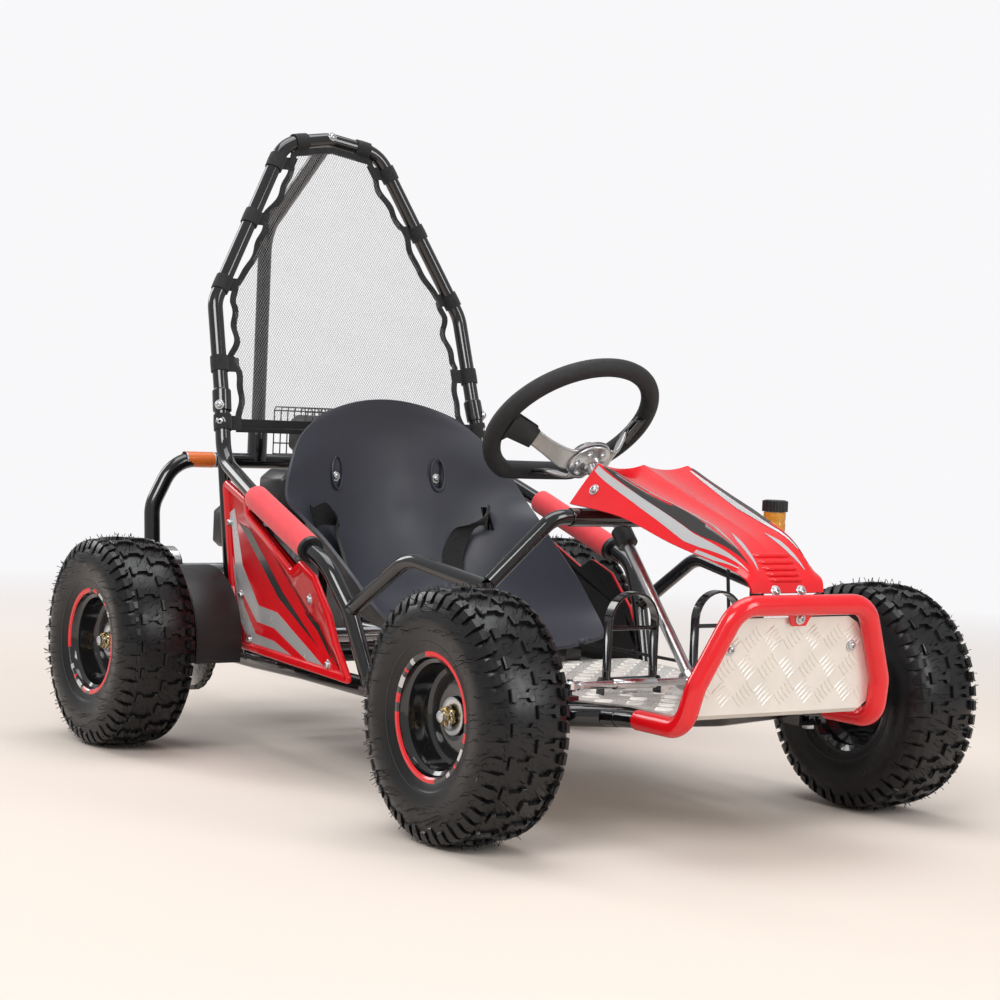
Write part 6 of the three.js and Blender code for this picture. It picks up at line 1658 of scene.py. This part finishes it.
def brake_hose():
    """The line along the frame to the disc, with its clips."""
    shift = (REAR_X + FRONT_X) / 2
    route = [(439, 126, 388), (405, 126, 372), (349, 150, 344), (338, 165, 280), (338, 208, 200),
             (290, 211, 186), (60, 212, 186), (-400, 213, 186), (-480, 216, 200),
             (-500, 262, 222)]
    points = [spot(x, y, z) + Vector((shift, 0, 0)) for x, y, z in route]
    low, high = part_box("brake_caliper")
    end = Vector(((low.x + high.x) / 2 + 0.004, 0.278, 0.215))
    points += [Vector((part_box("brake_hose")[0].x + 0.004, 0.268, 0.219)), end]
    hose = Shape().tube(points, 2.6, 30, 12)
    for point in points[5:8]:
        hose.collar(2.7, 4.2, -4, 4, point, AHEAD, 16)
    shown(hose, "brake_line", "chassis", "black_plastic", "brake_hose")


def brakes():
    profile = [(12.6, 276), (30, 276), (30, 284), (46, 288.2), (80, 288.2), (80, 291.8),
               (46, 291.8), (30, 291), (30, 304), (12.6, 304)]
    disc = Shape().turn(profile, REAR_AXLE, SIDEWAYS, 96, closed=True)
    holes = Shape()
    for k, (a, b) in enumerate(ring(1, 18)):
        radius = (56, 63, 70)[k % 3]
        holes.rod(3.4, 0, 12, REAR_AXLE + spot(radius * a, 285, radius * b), SIDEWAYS, 12)
    shown(disc, "brake_disc_plate", "rear_axle_set", "silver_steel", "brake_disc", cuts=[holes])
    softened("brake_caliper", "engine_metal", 2.0)
    cup = [(0, 0), (9, 0), (10.5, 3), (14.4, 8), (15.5, 10), (15.5, 20), (14.9, 21), (14.9, 24),
           (15.5, 25), (15.5, 35.5), (0, 35.5)]
    shown(Shape().turn(cup, foot_of("brake_reservoir"), UP, 40), "reservoir_cup", "chassis",
          "amber_plastic", "brake_reservoir")
    ribbed_lid("reservoir_cap", "reservoir_lid", "cup_cap", (18, 17.1), 96, 4, 15,
               [(0, 14.5), (15.5, 14.5), (15.2, 16), (0, 16)], 0.4)
    brake_hose()


brakes()


# Drive: axle, bearings, sprocket, clutch, chain and its guard

CRANK = Vector((REAR_X - 0.1615, 0, 0.265))
CHAIN_PITCH = 0.0127


def gear(shape, centre, root, tip, teeth):
    outline = []
    for i in range(teeth):
        for share, radius in ((-0.28, root), (-0.12, tip), (0.12, tip), (0.28, root)):
            angle = 2 * math.pi * (i + share) / teeth
            outline.append((radius * math.cos(angle), radius * math.sin(angle)))
    shape.slab(outline, lambda a, b, c: centre + spot(a, c, b), -308, -302)


def drive():
    axle = Shape().rod(12.5, -453, 453, REAR_AXLE, SIDEWAYS, 32)
    for side in (-1, 1):
        for y in (168, 208):
            axle.collar(12.6, 18, side * y, side * (y + 7), REAR_AXLE, SIDEWAYS, 32)
    shown(axle, "axle_rod", "rear_axle_set", "silver_steel", "rear_axle")
    profile = [(13, 176), (31, 176), (32, 177), (32, 180), (31, 181), (25, 182), (24, 184),
               (24, 204), (22.5, 206), (13, 206)]
    for name, side in SIDES:
        housing = Shape().turn([(r, side * y) for r, y in profile], REAR_AXLE, SIDEWAYS,
                               closed=True)
        shown(housing, f"bearing_housing_{name}", "chassis", "engine_metal",
              f"axle_bearing_{name}")
    low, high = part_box("axle_sprocket")
    sprocket = Shape()
    gear(sprocket, REAR_AXLE, 75.5, 80.3, 48)
    sprocket.collar(12.6, 26, low.y / MM + 0.5, high.y / MM - 0.5, REAR_AXLE, SIDEWAYS, 36)
    shown(sprocket, "rear_sprocket", "rear_axle_set", "silver_steel", "axle_sprocket")
    bell = [(9.3, -296), (9.3, -263), (34, -263), (38, -267), (38, -292), (34, -296)]
    clutch = Shape().turn(bell, CRANK, SIDEWAYS, closed=True)
    gear(clutch, CRANK, 19.2, 24.2, 14)
    shown(clutch, "clutch_bell", "clutch", "silver_steel", "clutch_drum")


def chain_spots():
    """The chain's links round the two sprockets: (place, facing, heading)."""
    gap = CRANK - REAR_AXLE
    big, small = 0.0795, 0.0235
    heading = math.atan2(gap.z, gap.x)
    spread = math.acos((big - small) / gap.length)
    points = []
    for centre, radius, start, end, steps in (
        (REAR_AXLE, big, heading + spread, heading + 2 * math.pi - spread, 60),
        (CRANK, small, heading - spread, heading + spread, 24),
    ):
        for k in range(steps + 1):
            angle = mix(start, end, k / steps)
            points.append(centre + Vector((radius * math.cos(angle), -0.305,
                                           radius * math.sin(angle))))
    points.append(points[0])
    lengths = [0.0]
    for a, b in zip(points, points[1:]):
        lengths.append(lengths[-1] + (b - a).length)
    count = 2 * round(lengths[-1] / CHAIN_PITCH / 2)
    spots = []
    for i in range(count):
        want = lengths[-1] * (i + 0.5) / count
        k = max(j for j in range(len(lengths) - 1) if lengths[j] <= want)
        share = (want - lengths[k]) / (lengths[k + 1] - lengths[k])
        spots.append((points[k].lerp(points[k + 1], share), SIDEWAYS,
                      (points[k + 1] - points[k]).normalized()))
    return spots


def chain():
    """Outer and inner links in turn: two plates and two rollers each."""
    spots = chain_spots()
    outline = [(6.1 * math.copysign(1, a) + 3.6 * a, 3.7 * b) for a, b in ring(1, 16)]
    for chosen, name, half in ((0, "outer", 3.6), (1, "inner", 2.4)):
        link = Shape()
        for side in (-1, 1):
            link.slab(outline, spot, side * half, side * (half + 0.9))
        for end in (-6.35, 6.35):
            link.rod(3.1, -half, half, spot(end, 0, 0), UP, 10)
        part = pattern(link.made(f"chain_link_{name}", [CHAIN_STEEL]))
        made = repeated(f"chain_{name}_links", spots[chosen::2], part, CHAIN_STEEL)
        placed(made, "chassis", "chain_steel", *["drive_chain"][:chosen])


def chain_guard():
    """A smooth hood over the sprocket, open below and on its inner side."""
    start, end = math.asin(-0.22), math.pi - math.asin(-0.22)
    angles = [mix(start, end, k / 72) for k in range(73)]
    hood = [(120 * math.cos(a), 120 * math.sin(a)) for a in angles]

    def place(a, b, c):
        return REAR_AXLE + spot(a, c, b)

    shape = Shape().slab(hood, place, -357.6, -354.8)
    shape.slab(hood + [(a * 0.972, b * 0.972) for a, b in reversed(hood)], place, -355.8, -278)
    hole = Shape().rod(21, -370, -350, REAR_AXLE, SIDEWAYS, 32)
    shown(shape, "sprocket_hood", "chassis", "matt_black_steel", "chain_guard",
          soft=(1.6, 50, 3), cuts=[hole], crease=35)


drive()
chain()
chain_guard()


# Front axle pieces

TIE_ROD_AHEAD, TIE_ROD_UP = 66, 207


def front_axle():
    for name, side in SIDES:
        out = SIDEWAYS * side
        past = Vector((FRONT_X, side * 378 * MM, AXLE_Z))
        softened(f"spindle_{name}", "glossy_black", 1.2, trim=(past, out))
        foot, high = foot_of(f"kingpin_{name}"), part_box(f"kingpin_{name}")[1].z
        pin = Shape().rod(6, 0, (high - foot.z) / MM, foot, UP)
        for z in (foot.z, high - 7 * MM):
            place = Vector((foot.x, foot.y, z))
            pin.slab(ring(10, 6), lambda a, b, c: place + spot(a, b, c), 0, 7)
        shown(pin, f"kingpin_bolt_{name}", "chassis", "zinc", f"kingpin_{name}",
              soft=(0.7, 40, 2))
        inner = front(TIE_ROD_AHEAD, side * 30, TIE_ROD_UP)
        rod = Shape().rod(5, 0, 210, inner, out)
        rod.turn([(5, 70), (6.4, 70), (7, 71), (7, 139), (6.4, 140), (5, 140)], inner, out, 24,
                 closed=True)
        ball = [(0, -6.6), (5.5, -6.6), (8.4, -3.6), (8.4, 3.6), (5.5, 6.6), (0, 6.6)]
        for y in (32, 238):
            rod.turn(ball, front(TIE_ROD_AHEAD, side * y, TIE_ROD_UP), UP, 24)
        for y in (46, 224):
            rod.slab(ring(6.6, 6), lambda a, b, c: front(
                TIE_ROD_AHEAD + a, side * (y + c), TIE_ROD_UP + b), -3, 3)
        shown(rod, f"tie_rod_{name}_bar", f"tie_rod_{name}", "zinc", f"tie_rod_{name}",
              finishes=[BRIGHT_STEEL])


front_axle()


# Engine with its shroud, starter, tank, filter and muffler


def engine():
    softened("engine_block", "engine_metal", 1.6)
    softened("cooling_shroud", "black_plastic", 4)
    softened("fuel_tank", "black_plastic", 9, 50)
    softened("air_filter_box", "black_plastic", 4)
    softened("muffler", "matt_black_steel", 2.5)
    low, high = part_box("recoil_housing")
    centre = Vector(((low.x + high.x) / 2, 0, (low.z + high.z) / 2))
    profile = [(0, 112), (20, 112), (22, 110), (58, 108), (66, 104), (72, 96), (74, 88), (74, 71),
               (0, 71)]
    starter = Shape().turn(profile, centre, SIDEWAYS, 64)
    slots = Shape()
    slot = [(-6, -2), (6, -2), (6, 2), (-6, 2)]
    for radius, count in ((34, 10), (50, 16)):
        for k in range(count):
            turn = Matrix.Rotation(2 * math.pi * k / count, 3, "Y")
            slots.slab(slot, lambda a, b, c: centre + turn @ spot(radius + a, 0, b)
                       + spot(0, c, 0), 104, 118)
    shown(starter, "recoil_cover", "chassis", "black_plastic", "recoil_housing", cuts=[slots])
    softened("recoil_handle", "black_plastic", 2.5)
    softened("engine_switch", "glossy_red", 0.8, finish=RED_PLASTIC)
    ribbed_lid("fuel_cap", "fuel_cap_lid", "tank_cap", (23.8, 22.4), 72, 6, 13,
               [(0, 12.5), (20, 12.5), (19, 15), (14, 16), (0, 16)], 0.6)


def muffler_guard():
    """A cage of round wires over the muffler."""
    low, high = (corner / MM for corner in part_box("muffler_guard"))
    back, ahead, foot, top = low.x + 1.5, high.x - 1.5, low.z + 2, high.z - 1.5
    wires = Shape()

    def wire(*points):
        wires.tube([spot(*point) for point in points], 1.15, 8, 8)

    for i in range(13):
        y = mix(low.y + 1.5, high.y - 1.5, i / 12)
        wire((ahead, y, foot), (ahead, y, top), (back, y, top), (back, y, foot))
    for x in (ahead, back):
        for z in (mix(foot, high.z - 8, k / 4) for k in range(5)):
            wire((x, low.y + 1, z), (x, high.y - 1, z))
    for x in (mix(low.x + 8, high.x - 8, k / 5) for k in range(6)):
        wire((x, low.y + 1, top), (x, high.y - 1, top))
    for y in (low.y + 8, high.y - 8):
        wire((back, y, foot), (ahead, y, foot))
    shown(wires, "muffler_wire_guard", "chassis", "matt_black_steel", "muffler_guard")


engine()
muffler_guard()


def finish_cad():
    """CAD pieces shown as they are get the finish of their slot."""
    slots = {part["node"]: part["material_slot"] for part in frame["record"]["subparts"]}
    for name, solid in frame["nodes"].items():
        if not solid.hide_render:
            solid.data.materials.clear()
            solid.data.materials.append(FINISH[slots[name]])


finish_cad()


# Studio: a pale floor, a pale backdrop and soft lights

BACKDROP = (0.945, 0.935, 0.95, 1)


def studio_floor():
    """A pale floor. Far from the kart the camera sees it as bright as the backdrop."""
    mesh = bpy.data.meshes.new("studio_floor")
    mesh.from_pydata([(-30, -30, 0), (30, -30, 0), (30, 30, 0), (-30, 30, 0)], [],
                     [(0, 1, 2, 3)])
    paint = Paint("pale_floor")
    paint.blended(paint.noise(0.6), (0.70, 0.62, 0.555), (0.72, 0.64, 0.575))
    paint.set(Roughness=0.8)
    away = paint.node("VectorMath", "Value", {0: paint.place}, operation="LENGTH")
    camera_only = paint.node("LightPath", "Is Camera Ray")
    far = paint.node("Math", "Value", {1: camera_only}, operation="MULTIPLY")
    paint.ranged(away, 0, 1, far.node.inputs[0], 1.3, 3.6)
    glow = paint.node("Emission", "Emission", {"Color": BACKDROP})
    fade = paint.node("MixShader", "Shader",
                      {"Fac": far, 1: paint.shader.outputs["BSDF"], 2: glow})
    paint.link(fade, paint.tree.nodes["Material Output"].inputs["Surface"])
    mesh.materials.append(paint.material)
    thing("studio_floor", mesh)


def studio_light():
    """A soft white sky that looks like the backdrop to the camera, and four softboxes."""
    world = bpy.data.worlds.new("studio_light")
    bpy.context.scene.world = world
    world.use_nodes = True
    tree = world.node_tree
    soft = tree.nodes["Background"]
    soft.inputs["Color"].default_value = (0.97, 0.98, 1.0, 1)
    soft.inputs["Strength"].default_value = 0.52
    seen = node(tree, "ShaderNodeBackground", "Background", {"Color": BACKDROP, "Strength": 1.0})
    path = tree.nodes.new("ShaderNodeLightPath").outputs
    either = node(tree, "ShaderNodeMath", "Value",
                  {0: path["Is Camera Ray"], 1: path["Is Transmission Ray"]},
                  operation="MAXIMUM")
    blend = node(tree, "ShaderNodeMixShader", "Shader",
                 {"Fac": either, 1: soft.outputs["Background"], 2: seen})
    tree.links.new(blend, tree.nodes["World Output"].inputs["Surface"])
    for name, place, size, watts, colour in (
        ("key_softbox", (2.6, -3.4, 3.4), (2.6, 1.6), 120, (1, 0.99, 0.97)),
        ("side_softbox", (4.0, 1.6, 2.2), (1.2, 2.4), 60, (1, 1, 1)),
        ("top_softbox", (-0.4, 0.2, 4.2), (3.2, 3.0), 95, (0.98, 0.99, 1)),
        ("rear_softbox", (-3.6, -1.6, 2.4), (1.4, 2.0), 45, (1, 1, 1)),
    ):
        data = bpy.data.lights.new(name, "AREA")
        data.shape = "RECTANGLE"
        data.size, data.size_y = size
        data.energy, data.color = watts, colour
        light = thing(name, data)
        light.location = place
        aim = Vector((0.1, 0, 0.35)) - Vector(place)
        light.rotation_euler = aim.to_track_quat("-Z", "Y").to_euler()
    bpy.context.scene.view_settings.view_transform = "Standard"


studio_floor()
studio_light()

for made in PATTERNS:
    bpy.data.objects.remove(made)
